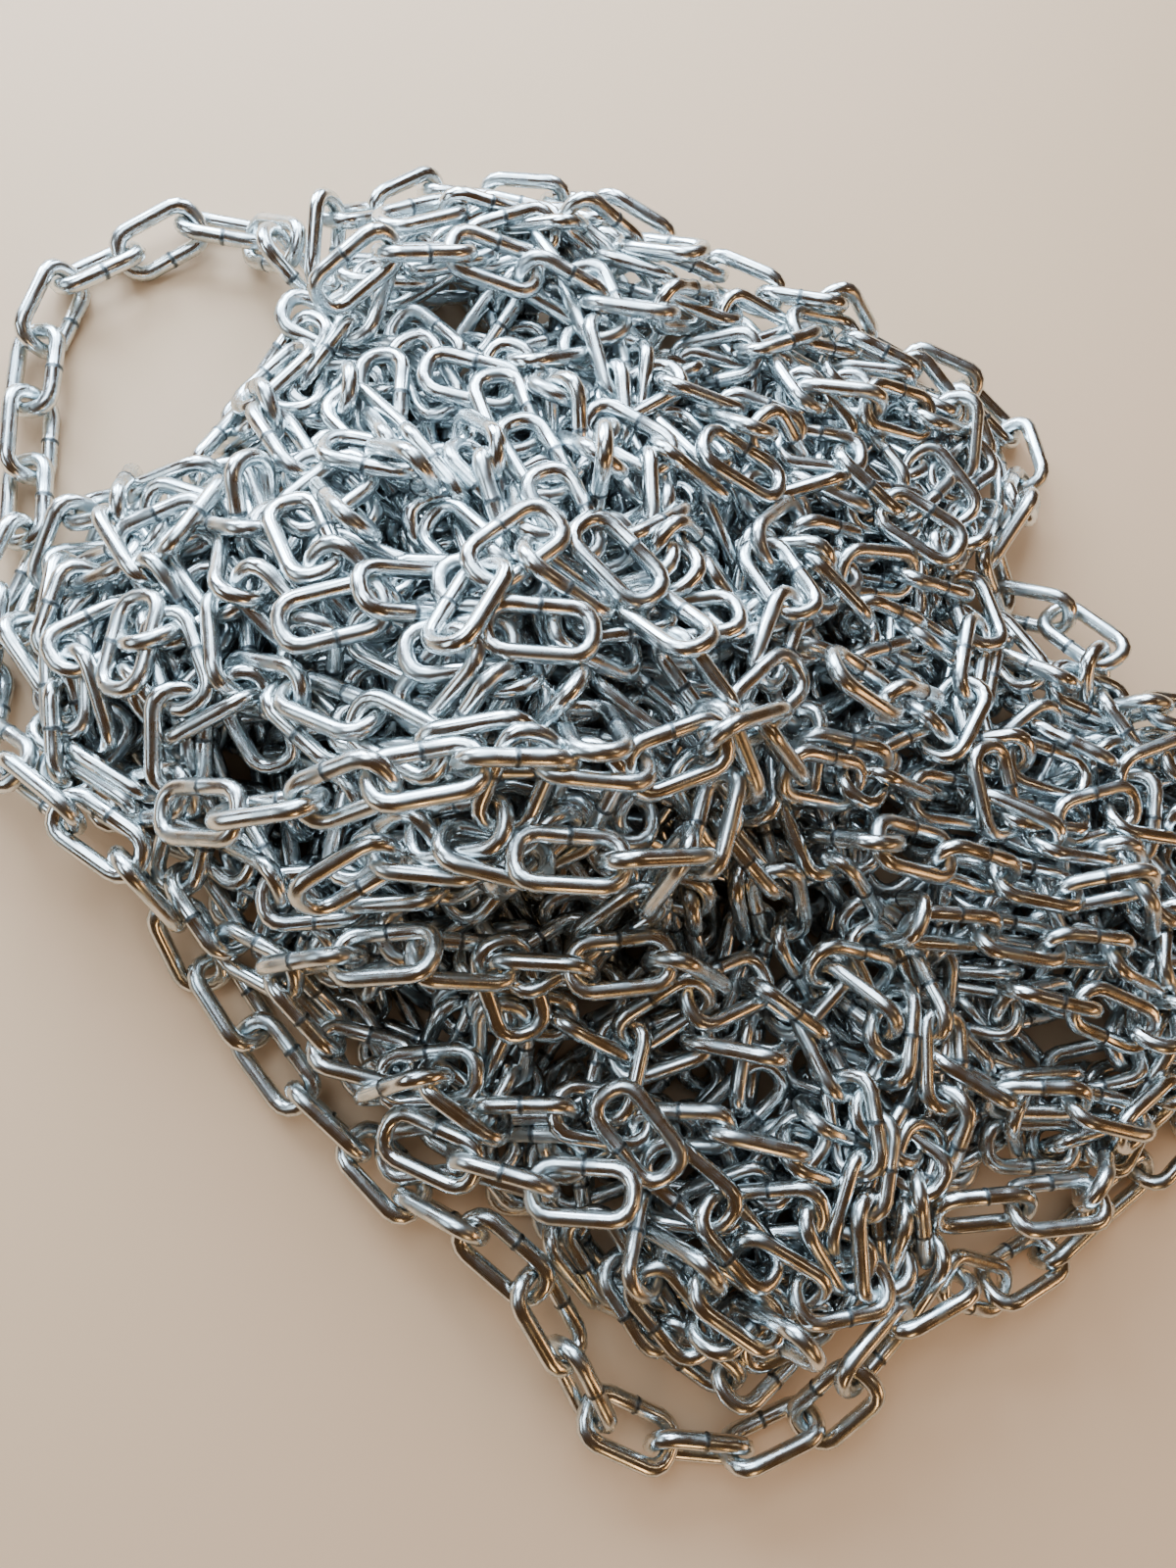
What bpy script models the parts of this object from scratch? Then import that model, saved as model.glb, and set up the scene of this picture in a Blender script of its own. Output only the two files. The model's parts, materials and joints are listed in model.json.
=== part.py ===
# Heap of welded steel chain, lying loose on a level floor.
# Metres, +Z up, +X to the right of the view, +Y away from the viewer, floor at Z = 0.

import math

import bmesh
import bpy
import numpy as np
from mathutils import Matrix, Vector
from mathutils.bvhtree import BVHTree

# One link of the chain
WIRE_DIAMETER = 0.006
LINK_LENGTH = 0.039
LINK_WIDTH = 0.022
WIRE_RINGS = 1
CROWN_STEPS = 4

# Fits between links
REST_GAP = 0.0003
BEARING_BITE = 0.0014
FREE_PLAY = 0.0026

# One unit of the plan, in which the outline and the routes are given
PLAN_UNIT = 0.001

# Outline of the heap on the floor, every fifteen degrees from +X towards +Y
RIM_RADII = (
    262, 190, 165, 222, 214, 214, 226, 252, 241, 230, 224, 240,
    236, 190, 175, 176, 182, 188, 236, 234, 222, 239, 262, 264,
)

# Relief of the heap, measured to the top of the chain
RIM_HEIGHT = 0.022
RIM_SLOPE = 0.80
APRON_HEIGHT = 0.048
SUMMIT_RISE = 0.068
SUMMIT_X = -0.055
SUMMIT_Y = -0.005
SUMMIT_HALF_WIDTH = 0.105
SUMMIT_FRONT_REACH = 0.060
SUMMIT_BACK_REACH = 0.110
RELIEF_BLEND = 0.006
LUMP_HEIGHT = 0.0025
LUMP_SPACING = 0.055

# Plain core of hidden chain
COVER_DEPTH = 0.014
CORE_INSET = 0.018
CORE_SEGMENTS = 60
CORE_RINGS = 10

# Draping of the runs over what lies below them
DRAPE_STEP = 0.002
DRAPE_REACH = 0.006
CLEAR_HEIGHT = 0.030
SLIDE_REACH = 0.020
BASE_ROLL = math.radians(45.0)
ROLL_DRIFT = math.radians(5.0)

# Routes of the chain, seen from above: name, links in each run, side of the first roll, way points
ROUTES = (
    ("left_loop", (4, 3, 2), 1, ((-128, 172), (-146, 200), (-165, 219), (-196, 200), (-228, 178),
                         (-232, 150), (-232, 120), (-230, 88), (-231, 56))),
    ("left_rim", (4,), -1, ((-240, 36), (-238, 4), (-214, -16), (-186, -34), (-166, -54))),
    ("front_left_rim", (3, 4), 1, ((-160, -66), (-147, -90), (-128, -114), (-104, -138),
                              (-76, -160), (-46, -170), (-16, -176))),
    ("front_tongue", (3, 3), -1, ((-32, -192), (-30, -216), (-10, -232), (18, -240),
                             (46, -236), (68, -220), (76, -196))),
    ("front_right_rim", (3, 3), 1, ((90, -180), (120, -192), (150, -180), (178, -160),
                               (204, -144), (226, -122))),
    ("right_rim", (5,), -1, ((244, -94), (254, -64), (258, -34), (252, -4), (234, 18), (208, 30))),
    ("right_notch", (3,), 1, ((160, 18), (176, 42), (172, 68), (146, 78))),
    ("far_right_lobe", (4, 2), -1, ((118, 106), (146, 108), (166, 128), (162, 154),
                               (138, 174), (110, 184), (84, 186))),
    ("far_rim", (4,), 1, ((72, 186), (46, 202), (20, 212), (-8, 218), (-30, 226))),
    ("crown", (4,), -1, ((-42, 238), (-72, 242), (-98, 228), (-120, 208), (-142, 190))),
    ("brow", (3, 5), 1, ((-164, -30), (-134, -34), (-104, -28), (-74, -22),
                    (-44, -26), (-14, -20), (12, -4), (34, 16))),
    ("summit_left", (4,), -1, ((-150, 128), (-136, 100), (-120, 74), (-108, 46), (-108, 16))),
    ("summit_middle", (4,), 1, ((-64, 12), (-66, 42), (-62, 72), (-78, 98), (-78, 130))),
    ("summit_right", (4,), -1, ((-24, 138), (-16, 112), (-10, 84), (-4, 56), (-20, 30))),
    ("left_slope", (4,), 1, ((-196, 98), (-186, 70), (-168, 46), (-166, 16), (-192, 4))),
    ("back_slope", (4, 2), -1, ((-126, 160), (-98, 176), (-68, 180), (-38, 173), (-10, 166), (20, 170))),
    ("back_right_slope", (4,), 1, ((44, 166), (58, 140), (88, 134), (116, 142), (142, 150))),
    ("right_back_slope", (4,), -1, ((10, 132), (40, 112), (66, 106), (90, 94), (112, 74))),
    ("right_slope", (4,), 1, ((26, 68), (56, 66), (84, 54), (112, 46), (138, 40))),
    ("right_shoulder", (3, 2), -1, ((46, 22), (76, 16), (106, 9), (134, 0), (162, -9), (192, -14))),
    ("right_apron", (4, 2), 1, ((46, -34), (76, -34), (106, -42), (136, -46), (166, -52), (200, -50))),
    ("right_low_apron", (4,), -1, ((226, -92), (194, -94), (164, -92), (134, -86), (108, -80))),
    ("front_face", (4, 2), 1, ((-128, -66), (-98, -78), (-68, -72), (-38, -80), (-8, -74), (28, -78))),
    ("front_right_apron", (2, 3), -1, ((58, -76), (84, -94), (110, -116), (140, -130), (176, -122))),
    ("front_apron", (4, 3), 1, ((-106, -104), (-76, -116), (-46, -122), (-16, -130), (14, -128),
                           (44, -134), (76, -150))),
    ("tongue_middle", (3,), -1, ((-6, -158), (10, -178), (30, -196), (54, -204))),
    ("front_hollow", (5,), -1, ((-122, -54), (-94, -52), (-66, -46), (-38, -50), (-10, -46), (20, -42))),
    ("front_step", (4,), 1, ((-66, -95), (-38, -98), (-10, -101), (18, -105), (48, -107))),
    ("front_left_apron", (3,), -1, ((-90, -130), (-64, -142), (-36, -150), (-10, -149))),
    ("front_right_hollow", (3,), 1, ((98, -160), (126, -162), (154, -155), (180, -141))),
    ("right_hollow", (3, 3), 1, ((44, -5), (72, -8), (100, -14), (128, -21), (156, -29),
                               (184, -33), (214, -26))),
    ("right_step", (5,), -1, ((60, -57), (88, -60), (116, -65), (144, -69), (172, -72), (204, -71))),
    ("back_hollow", (5,), -1, ((-108, 197), (-82, 208), (-54, 211), (-26, 205), (0, 195), (30, 188))),
    ("summit_left_hollow", (3,), 1, ((-108, 134), (-100, 106), (-90, 80), (-86, 50))),
    ("summit_right_hollow", (4,), -1, ((-50, 146), (-46, 118), (-38, 90), (-33, 62), (-42, 32))),
    ("left_hollow", (3,), 1, ((-156, 82), (-142, 54), (-137, 26), (-140, -4))),
)

# Zinc plate
ZINC_COLOUR = (0.62, 0.66, 0.68, 1.0)
ZINC_ROUGHNESS = 0.22
HIDDEN_COLOUR = (0.20, 0.22, 0.23, 1.0)
HIDDEN_ROUGHNESS = 0.45

LINK_PITCH = LINK_LENGTH - 2.0 * WIRE_DIAMETER
AXIS_HEIGHT = (LINK_WIDTH - WIRE_DIAMETER) / 2.0 * math.sin(BASE_ROLL) + WIRE_DIAMETER / 2.0


def rim_radius(angle):
    """Outline radius at an angle, as a smooth closed curve through the stations."""
    stations = np.array(RIM_RADII) * PLAN_UNIT
    count = len(stations)
    place = np.mod(angle, 2.0 * math.pi) / (2.0 * math.pi) * count
    low = np.floor(place).astype(int)
    t = place - low
    a, b, c, d = (stations[(low + shift) % count] for shift in (-1, 0, 1, 2))
    return 0.5 * (2 * b + (c - a) * t + (2 * a - 5 * b + 4 * c - d) * t**2
                  + (3 * b - a - 3 * c + d) * t**3)


def cover_height(x, y):
    """Height of the top of the chain above the floor."""
    inside = rim_radius(np.arctan2(y, x)) - np.hypot(x, y)
    edge = RIM_HEIGHT + RIM_SLOPE * inside
    reach = np.where(y < SUMMIT_Y, SUMMIT_FRONT_REACH, SUMMIT_BACK_REACH)
    power = np.where(y < SUMMIT_Y, 4.0, 2.0)
    across = (np.abs(x - SUMMIT_X) / SUMMIT_HALF_WIDTH) ** 3
    along = (np.abs(y - SUMMIT_Y) / reach) ** power
    wave = 2.0 * math.pi / LUMP_SPACING
    lumps = LUMP_HEIGHT * (np.sin(wave * x + 1.0) + np.sin(wave * 0.8 * y) * np.cos(wave * 0.6 * x))
    broad = APRON_HEIGHT + SUMMIT_RISE * np.exp(-across - along) + lumps
    least = np.minimum(edge, broad)
    return least - RELIEF_BLEND * np.log(
        np.exp(-(edge - least) / RELIEF_BLEND) + np.exp(-(broad - least) / RELIEF_BLEND))


def core_height(x, y):
    """Height of the hidden core under the covering chain, and the floor outside it."""
    inside = rim_radius(np.arctan2(y, x)) - CORE_INSET - np.hypot(x, y)
    height = np.maximum(cover_height(x, y) - COVER_DEPTH, 0.25 * COVER_DEPTH)
    return np.where(inside > 0.0, height, 0.0)


def make_material(name, colour, roughness):
    material = bpy.data.materials.new(name)
    material.use_nodes = True
    shader = material.node_tree.nodes["Principled BSDF"]
    shader.inputs["Base Color"].default_value = colour
    shader.inputs["Metallic"].default_value = 1.0
    shader.inputs["Roughness"].default_value = roughness
    return material


def add_object(name, mesh, colour, roughness):
    mesh.name = name
    mesh.materials.clear()
    mesh.materials.append(make_material(name + "_zinc", colour, roughness))
    piece = bpy.data.objects.new(name, mesh)
    heap.objects.link(piece)
    return piece


def make_core():
    """A mound drawn as rings pulled in from the rim, on one flat underside."""
    body = bmesh.new()
    bmesh.ops.create_circle(body, cap_ends=False, segments=CORE_SEGMENTS, radius=1.0)
    ring = list(body.verts)
    angles = {v: math.atan2(v.co.y, v.co.x) for v in ring}
    base_edges = list(body.edges)
    for v in ring:
        reach = float(rim_radius(np.array(angles[v]))) - CORE_INSET
        v.co = Vector((reach * math.cos(angles[v]), reach * math.sin(angles[v]), 0.0))
    edges = base_edges
    for step in range(CORE_RINGS + 1):
        grown = bmesh.ops.extrude_edge_only(body, edges=edges)["geom"]
        verts = [g for g in grown if isinstance(g, bmesh.types.BMVert)]
        edges = [g for g in grown if isinstance(g, bmesh.types.BMEdge)]
        for v in verts:
            angle = math.atan2(v.co.y, v.co.x)
            reach = float(rim_radius(np.array(angle))) - CORE_INSET
            reach *= 1.0 - step / (CORE_RINGS + 0.6)
            x, y = reach * math.cos(angle), reach * math.sin(angle)
            height = max(float(cover_height(np.array(x), np.array(y))) - COVER_DEPTH,
                         0.25 * COVER_DEPTH)
            v.co = Vector((x, y, height))
    bmesh.ops.contextual_create(body, geom=edges)
    bmesh.ops.contextual_create(body, geom=base_edges)
    bmesh.ops.triangulate(body, faces=body.faces[:])
    bmesh.ops.recalc_face_normals(body, faces=body.faces[:])
    mesh = bpy.data.meshes.new("heap_core")
    body.to_mesh(mesh)
    body.free()
    return mesh


def make_link_mesh():
    """One link: a closed wire of two straight sides and two half round crowns."""
    half_gap = (LINK_LENGTH - LINK_WIDTH) / 2.0
    bend = (LINK_WIDTH - WIRE_DIAMETER) / 2.0
    points = []
    for side in (1.0, -1.0):
        for step in range(CROWN_STEPS + 1):
            turn = math.pi * (step / CROWN_STEPS - 0.5)
            points.append((side * (half_gap + bend * math.cos(turn)), side * bend * math.sin(turn)))
    wire = bpy.data.curves.new("link_wire", "CURVE")
    wire.dimensions = "3D"
    wire.bevel_depth = WIRE_DIAMETER / 2.0
    wire.bevel_resolution = WIRE_RINGS
    wire.render_resolution_u = 0
    spline = wire.splines.new("POLY")
    spline.points.add(len(points) - 1)
    for point, (x, y) in zip(spline.points, points):
        point.co = (x, y, 0.0, 1.0)
    spline.use_cyclic_u = True
    carrier = bpy.data.objects.new("link_wire", wire)
    heap.objects.link(carrier)
    mesh = bpy.data.meshes.new_from_object(carrier)
    bpy.data.objects.remove(carrier)
    bpy.data.curves.remove(wire)
    return mesh


def smooth_route(points, links):
    """A fine curve through the way points of a route, and straight on after them."""
    pts = np.array(points) * PLAN_UNIT
    pts = np.vstack([2 * pts[0] - pts[1], pts, 2 * pts[-1] - pts[-2]])
    fine = []
    for k in range(1, len(pts) - 2):
        a, b, c, d = pts[k - 1:k + 3]
        for t in np.linspace(0.0, 1.0, 24, endpoint=False):
            fine.append(0.5 * (2 * b + (c - a) * t + (2 * a - 5 * b + 4 * c - d) * t**2
                               + (3 * b - a - 3 * c + d) * t**3))
    end, way = pts[-2], (pts[-1] - pts[-2]) / np.linalg.norm(pts[-1] - pts[-2])
    spare = np.arange(0.0, links * LINK_PITCH, DRAPE_STEP / 2.0)
    return np.vstack([fine, end + spare[:, None] * way])


def ground_under(fine):
    """Height of what lies below each point of a route, eased along the route."""
    reach = int(round(DRAPE_REACH / DRAPE_STEP))
    cells = np.rint((fine - grid_low) / DRAPE_STEP).astype(int)
    found = np.array([ground[i - reach:i + reach + 1, j - reach:j + reach + 1].max()
                      for i, j in cells])
    window = 9
    padded = np.pad(found, window, mode="edge")
    spread = np.array([padded[k:k + 2 * window + 1].max() for k in range(len(found))])
    padded = np.pad(spread, window, mode="edge")
    return np.array([padded[k:k + 2 * window + 1].mean() for k in range(len(found))])


def lay_links(fine, run_lengths, first_side, drift):
    """Place link after link along the route, with free play where one run ends."""
    line = np.column_stack([fine, ground_under(fine) + AXIS_HEIGHT])
    joints, seat, reach = [line[0]], 0, LINK_PITCH + BEARING_BITE
    for _ in range(sum(run_lengths)):
        seat = next(k for k in range(seat, len(line)) if np.linalg.norm(line[k] - joints[-1]) >= reach)
        way = line[seat] - joints[-1]
        joints.append(joints[-1] + way / np.linalg.norm(way) * reach)
    axes = [Vector(b - a).normalized() for a, b in zip(joints, joints[1:])]
    splits = np.cumsum(run_lengths)[:-1]
    matrices, shift = [], Vector((0.0, 0.0, 0.0))
    for k, axis in enumerate(axes):
        if k in splits:
            shift -= axis * FREE_PLAY
        level = Vector((0.0, 0.0, 1.0)).cross(axis).normalized()
        side = first_side if k % 2 == 0 else -first_side
        roll = side * BASE_ROLL + drift * math.sin(2.1 * k + 0.7)
        width = Matrix.Rotation(roll, 3, axis) @ level
        frame = Matrix((axis, width, axis.cross(width))).transposed()
        middle = Vector(joints[k]) + shift + axis * (reach / 2.0)
        matrices.append(Matrix.Translation(middle) @ frame.to_4x4())
    return matrices


def placed_arrays(mesh, matrices):
    """Corner points and faces of several placed copies of one mesh."""
    corners = [v.co.copy() for v in mesh.vertices]
    faces = [tuple(p.vertices) for p in mesh.polygons]
    points, polygons = [], []
    for matrix in matrices:
        start = len(points)
        points.extend(matrix @ corner for corner in corners)
        polygons.extend(tuple(i + start for i in face) for face in faces)
    return points, polygons


def way_to_contact(points, polygons, supports, heading, reach):
    """How far a run can move along a heading before it meets a support, less the rest gap."""

    def touches(distance):
        moved = [p + heading * distance for p in points]
        tree = BVHTree.FromPolygons(moved, polygons)
        return any(tree.overlap(support) for support in supports)

    distance, step = 0.0, 0.002
    while step > 0.00002:
        while distance + step <= reach and not touches(distance + step):
            distance += step
        step /= 2.0
    return distance if distance + 0.0001 > reach else distance - REST_GAP


def settle(points, polygons, supports):
    """Lower a run onto what lies below it, then push a run on the floor against the heap."""
    offset = Vector((0.0, 0.0, CLEAR_HEIGHT))
    lifted = [p + offset for p in points]
    fall = min(p.z for p in lifted)
    drop = way_to_contact(lifted, polygons, supports, Vector((0.0, 0.0, -1.0)), fall)
    offset.z -= drop
    if drop >= fall - 0.0001:
        lowered = [p + offset for p in points]
        inward = -sum(lowered, Vector()).xy.normalized().to_3d()
        offset += inward * way_to_contact(lowered, polygons, supports, inward, SLIDE_REACH)
    return offset


def fill_pockets(body):
    """Fill the small closed pockets that two bearing wires leave between them."""
    left, shells = set(body.verts), []
    while left:
        edge_of_shell = [left.pop()]
        shell = list(edge_of_shell)
        while edge_of_shell:
            for edge in edge_of_shell.pop().link_edges:
                for vert in edge.verts:
                    if vert in left:
                        left.discard(vert)
                        shell.append(vert)
                        edge_of_shell.append(vert)
        shells.append(shell)
    shells.sort(key=len)
    for pocket in shells[:-1]:
        bmesh.ops.delete(body, geom=pocket, context="VERTS")


def fuse(name, mesh, matrices):
    """Links that bear on one another, joined into one solid."""
    parts = []
    for k, matrix in enumerate(matrices):
        copy = mesh.copy()
        copy.transform(matrix)
        part = bpy.data.objects.new("%s_link_%d" % (name, k), copy)
        (heap if k == 0 else tools).objects.link(part)
        parts.append(part)
    for other in parts[1:]:
        other.hide_render = True
        other.display_type = "WIRE"
        join = parts[0].modifiers.new("bearing", "BOOLEAN")
        join.operation = "UNION"
        join.solver = "EXACT"
        join.object = other
    view = bpy.context.evaluated_depsgraph_get()
    fused = bpy.data.meshes.new_from_object(parts[0].evaluated_get(view))
    for part in parts:
        bpy.data.objects.remove(part)
    body = bmesh.new()
    body.from_mesh(fused)
    bmesh.ops.remove_doubles(body, verts=body.verts[:], dist=0.000001)
    fill_pockets(body)
    bmesh.ops.triangulate(body, faces=body.faces[:])
    bmesh.ops.recalc_face_normals(body, faces=body.faces[:])
    body.to_mesh(fused)
    body.free()
    for polygon in fused.polygons:
        polygon.use_smooth = True
    return fused


for leftover in list(bpy.data.objects):
    bpy.data.objects.remove(leftover)
heap = bpy.data.collections.new("chain_heap")
tools = bpy.data.collections.new("chain_heap_tools")
bpy.context.scene.collection.children.link(heap)
bpy.context.scene.collection.children.link(tools)
tools.hide_render = True

core_mesh = make_core()
add_object("heap_core", core_mesh, HIDDEN_COLOUR, HIDDEN_ROUGHNESS)
core_tree = BVHTree.FromPolygons([v.co.copy() for v in core_mesh.vertices],
                                 [tuple(p.vertices) for p in core_mesh.polygons])

grid_reach = max(RIM_RADII) * PLAN_UNIT + 12.0 * LINK_LENGTH
grid_low = np.array([-grid_reach, -grid_reach])
grid_axis = np.arange(-grid_reach, grid_reach, DRAPE_STEP)
grid_x, grid_y = np.meshgrid(grid_axis, grid_axis, indexing="ij")
ground = core_height(grid_x, grid_y)

link_mesh = make_link_mesh()
supports = [core_tree]
total_links = 0
for name, run_lengths, first_side, points in ROUTES:
    fine = smooth_route(points, sum(run_lengths))
    matrices = lay_links(fine, run_lengths, first_side, ROLL_DRIFT)
    corners, polygons = placed_arrays(link_mesh, matrices)
    offset = settle(corners, polygons, supports)
    seated = [Matrix.Translation(offset) @ matrix for matrix in matrices]
    corners = [p + offset for p in corners]
    supports.append(BVHTree.FromPolygons(corners, polygons))
    for matrix in seated:
        middle, axis = matrix.translation, matrix.col[0]
        along = (grid_x - middle.x) * axis.x + (grid_y - middle.y) * axis.y
        across = (grid_x - middle.x) * axis.y - (grid_y - middle.y) * axis.x
        near = (np.abs(along) < LINK_LENGTH / 2.0) & (np.abs(across) < AXIS_HEIGHT)
        top = middle.z + along / max(axis.xy.length_squared, 0.25) * axis.z + AXIS_HEIGHT
        ground[near] = np.maximum(ground[near], top[near])
    ends = np.cumsum(run_lengths)
    for letter, first, end in zip("abc", ends - run_lengths, ends):
        label = name + "_run" + ("_" + letter if len(ends) > 1 else "")
        fused = fuse(label, link_mesh, seated[first:end])
        add_object(label, fused, ZINC_COLOUR, ZINC_ROUGHNESS)
    total_links += len(seated)
    print(name, len(seated), "links, moved %.1f %.1f %.1f mm" % tuple(offset * 1000.0))

bpy.data.meshes.remove(link_mesh)
bpy.data.collections.remove(tools)
print("links in the runs:", total_links)
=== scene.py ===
# %% [markdown]
# A heap of zinc plated steel chain
#
# More than a thousand welded links lie in one loose pile on a level floor. Every link is the same
# small thing, a ring of round wire with two straight sides, and everything that the eye enjoys
# comes from how the links hang in one another and how the bright zinc mirrors the room.
# So this lesson models one link by hand, lets numpy work out how a whole heap of such links
# settles, and then hands the resting places to Geometry Nodes.
#
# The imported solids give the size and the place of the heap. They are loaded first.

import json
import math

import bmesh
import bpy
import numpy as np
from mathutils import Matrix, Vector
from mathutils.bvhtree import BVHTree

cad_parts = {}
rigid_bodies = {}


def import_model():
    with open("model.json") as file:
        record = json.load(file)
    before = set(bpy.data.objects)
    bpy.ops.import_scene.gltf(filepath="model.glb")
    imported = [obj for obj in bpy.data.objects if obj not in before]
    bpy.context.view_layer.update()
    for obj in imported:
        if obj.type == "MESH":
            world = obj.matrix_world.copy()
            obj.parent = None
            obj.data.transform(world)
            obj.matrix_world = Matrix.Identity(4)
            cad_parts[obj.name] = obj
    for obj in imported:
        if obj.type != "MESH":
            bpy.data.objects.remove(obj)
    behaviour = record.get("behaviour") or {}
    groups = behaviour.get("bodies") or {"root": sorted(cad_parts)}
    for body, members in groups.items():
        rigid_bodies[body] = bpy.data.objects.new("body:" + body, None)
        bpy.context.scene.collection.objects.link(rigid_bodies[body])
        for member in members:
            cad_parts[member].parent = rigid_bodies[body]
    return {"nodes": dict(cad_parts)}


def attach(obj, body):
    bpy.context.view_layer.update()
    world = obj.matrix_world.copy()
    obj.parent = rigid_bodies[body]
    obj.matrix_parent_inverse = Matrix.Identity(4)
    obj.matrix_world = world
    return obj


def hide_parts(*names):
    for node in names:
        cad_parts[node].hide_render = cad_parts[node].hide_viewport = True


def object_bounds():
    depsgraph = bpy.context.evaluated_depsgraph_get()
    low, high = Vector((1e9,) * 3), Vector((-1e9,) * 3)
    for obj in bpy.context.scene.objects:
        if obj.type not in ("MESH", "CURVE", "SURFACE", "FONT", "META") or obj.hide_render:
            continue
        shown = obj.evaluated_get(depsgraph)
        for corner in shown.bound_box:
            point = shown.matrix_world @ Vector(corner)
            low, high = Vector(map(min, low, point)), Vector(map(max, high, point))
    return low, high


for leftover in list(bpy.data.objects):
    bpy.data.objects.remove(leftover)
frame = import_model()
CAD_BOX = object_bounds()
print("nodes in the frame:", len(frame["nodes"]))

# %% [markdown]
# The camera
#
# The heap is seen from nearly straight above and a little from the front, from well under half
# a metre, so the links near the top look clearly larger than those on the floor. A wide lens at
# the real distance gives that look, where a long lens from far away would flatten it.
# The lens is worked out from its focal length in pixels on a picture 1600 pixels tall.

# %% Camera
CAMERA_PLACE = Vector((-0.0950, -0.0950, 0.4386))
CAMERA_AIM = Vector((-0.0206, -0.0054, 0.0))
FOCAL_PIXELS = 1199.5
PICTURE_HEIGHT = 1600
SENSOR_SIZE = 36.0

camera_data = bpy.data.cameras.new("camera")
camera_data.sensor_fit = "VERTICAL"
camera_data.sensor_height = SENSOR_SIZE
camera_data.lens = FOCAL_PIXELS / PICTURE_HEIGHT * SENSOR_SIZE
camera_data.clip_start = 0.01
camera = bpy.data.objects.new("camera", camera_data)
bpy.context.scene.collection.objects.link(camera)
back = (CAMERA_PLACE - CAMERA_AIM).normalized()
right = Vector((0.0, 1.0, 0.0)).cross(back).normalized()
turn = Matrix((right, back.cross(right), back)).transposed()
camera.matrix_world = Matrix.Translation(CAMERA_PLACE) @ turn.to_4x4()
bpy.context.scene.camera = camera
print("lens %.1f mm" % camera_data.lens)

# %% [markdown]
# Sizes of the link
#
# This is 6 mm welded chain: wire of 6 mm, links 39 mm long and 22 mm wide. The middle of the
# wire runs in two half circles, which the words below call the crowns. Two links that hang in
# each other and are pulled straight stand one pitch apart, and then the centres of their nearest
# crowns are 10 mm apart. All of the settling is done in millimetres, which are easy to read, and
# a metre of the frame is a thousand of them.

# %% Sizes of one link, in millimetres
METRE = 1000.0
WIRE = 6.0
LINK_LENGTH = 39.0
LINK_WIDTH = 22.0
CROWN = (LINK_WIDTH - WIRE) / 2.0
HALF_SIDE = (LINK_LENGTH - LINK_WIDTH) / 2.0
PITCH = LINK_LENGTH - 2.0 * WIRE
TAUT = 2.0 * CROWN - WIRE
ROLL = math.radians(45.0)
HALF_BAND = CROWN * math.sin(ROLL) + WIRE / 2.0
print("pitch %.0f mm, crown centres at most %.0f mm apart" % (PITCH, TAUT))

# %% [markdown]
# The shape that the heap fills
#
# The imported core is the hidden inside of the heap, and the chain covers it about 14 mm deep.
# Rays shot down on it every 2 mm give its height, and from that the height of the cover.
# Near the rim the core is missing and the cover slopes down to one link's width.

# %% Height map of the cover
CELL = 2.0
MAP_MARGIN = 40.0
RAY_TOP = 300.0
FAR_OFF = 1e9
OUTLINE_STEPS = 8
ON_FLOOR = 0.01
COVER_DEPTH = 14.0
RIM_WIDTH = 18.0
RIM_HEIGHT = 22.0
RIM_SLOPE = 0.8


def solid_tree(name):
    """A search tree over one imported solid, in metres."""
    mesh = frame["nodes"][name].data
    return BVHTree.FromPolygons([v.co.copy() for v in mesh.vertices],
                                [tuple(p.vertices) for p in mesh.polygons])


reach = max(abs(value) for corner in CAD_BOX for value in corner) * METRE + MAP_MARGIN
axis = np.arange(-reach, reach, CELL)
grid_x, grid_y = np.meshgrid(axis, axis, indexing="ij")
core_tree = solid_tree("heap_core")
down = Vector((0.0, 0.0, -1.0))
core = np.zeros_like(grid_x)
for i, x in enumerate(axis):
    for j, y in enumerate(axis):
        hit = core_tree.ray_cast(Vector((x, y, RAY_TOP)) / METRE, down)[0]
        core[i, j] = hit.z * METRE if hit else 0.0

core_points = np.array([v.co[:] for v in frame["nodes"]["heap_core"].data.vertices]) * METRE
foot = core_points[core_points[:, 2] < ON_FLOOR][:, :2]
foot = foot[np.argsort(np.arctan2(foot[:, 1], foot[:, 0]))]
outline = np.concatenate([a + (b - a) * np.linspace(0.0, 1.0, OUTLINE_STEPS, endpoint=False)[:, None]
                          for a, b in zip(foot, np.roll(foot, -1, axis=0))])
to_outline = np.full(grid_x.shape, FAR_OFF)
for x, y in outline:
    to_outline = np.minimum(to_outline, np.hypot(grid_x - x, grid_y - y))
inside = np.where(core > 0.0, to_outline, -to_outline) + RIM_WIDTH
rim = RIM_HEIGHT + RIM_SLOPE * inside
over_core = np.where(core > 0.0, core + COVER_DEPTH, FAR_OFF)
cover = np.where(inside > 0.0, np.minimum(over_core, rim), 0.0)
slope_x, slope_y = np.gradient(inside, CELL)
steep = np.maximum(np.hypot(slope_x, slope_y), 1e-6)
inward_x, inward_y = slope_x / steep, slope_y / steep
print("cover up to %.0f mm high, %.1f litres" % (cover.max(), cover.sum() * CELL**2 / 1e6))


def cell_of(x, y):
    """Cell of the height map that a place falls in."""
    i = np.clip(((x + reach) / CELL + 0.5).astype(int), 0, len(axis) - 1)
    j = np.clip(((y + reach) / CELL + 0.5).astype(int), 0, len(axis) - 1)
    return i, j


# %% [markdown]
# Where the visible chain runs
#
# The strands that show best follow the photograph: the loop that lies free on the floor at the
# far left, the chain along the rim, the crown of the heap, its brow and the tongue in front.
# Each has a few way points in plan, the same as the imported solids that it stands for, and its
# height comes from those solids.

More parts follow.
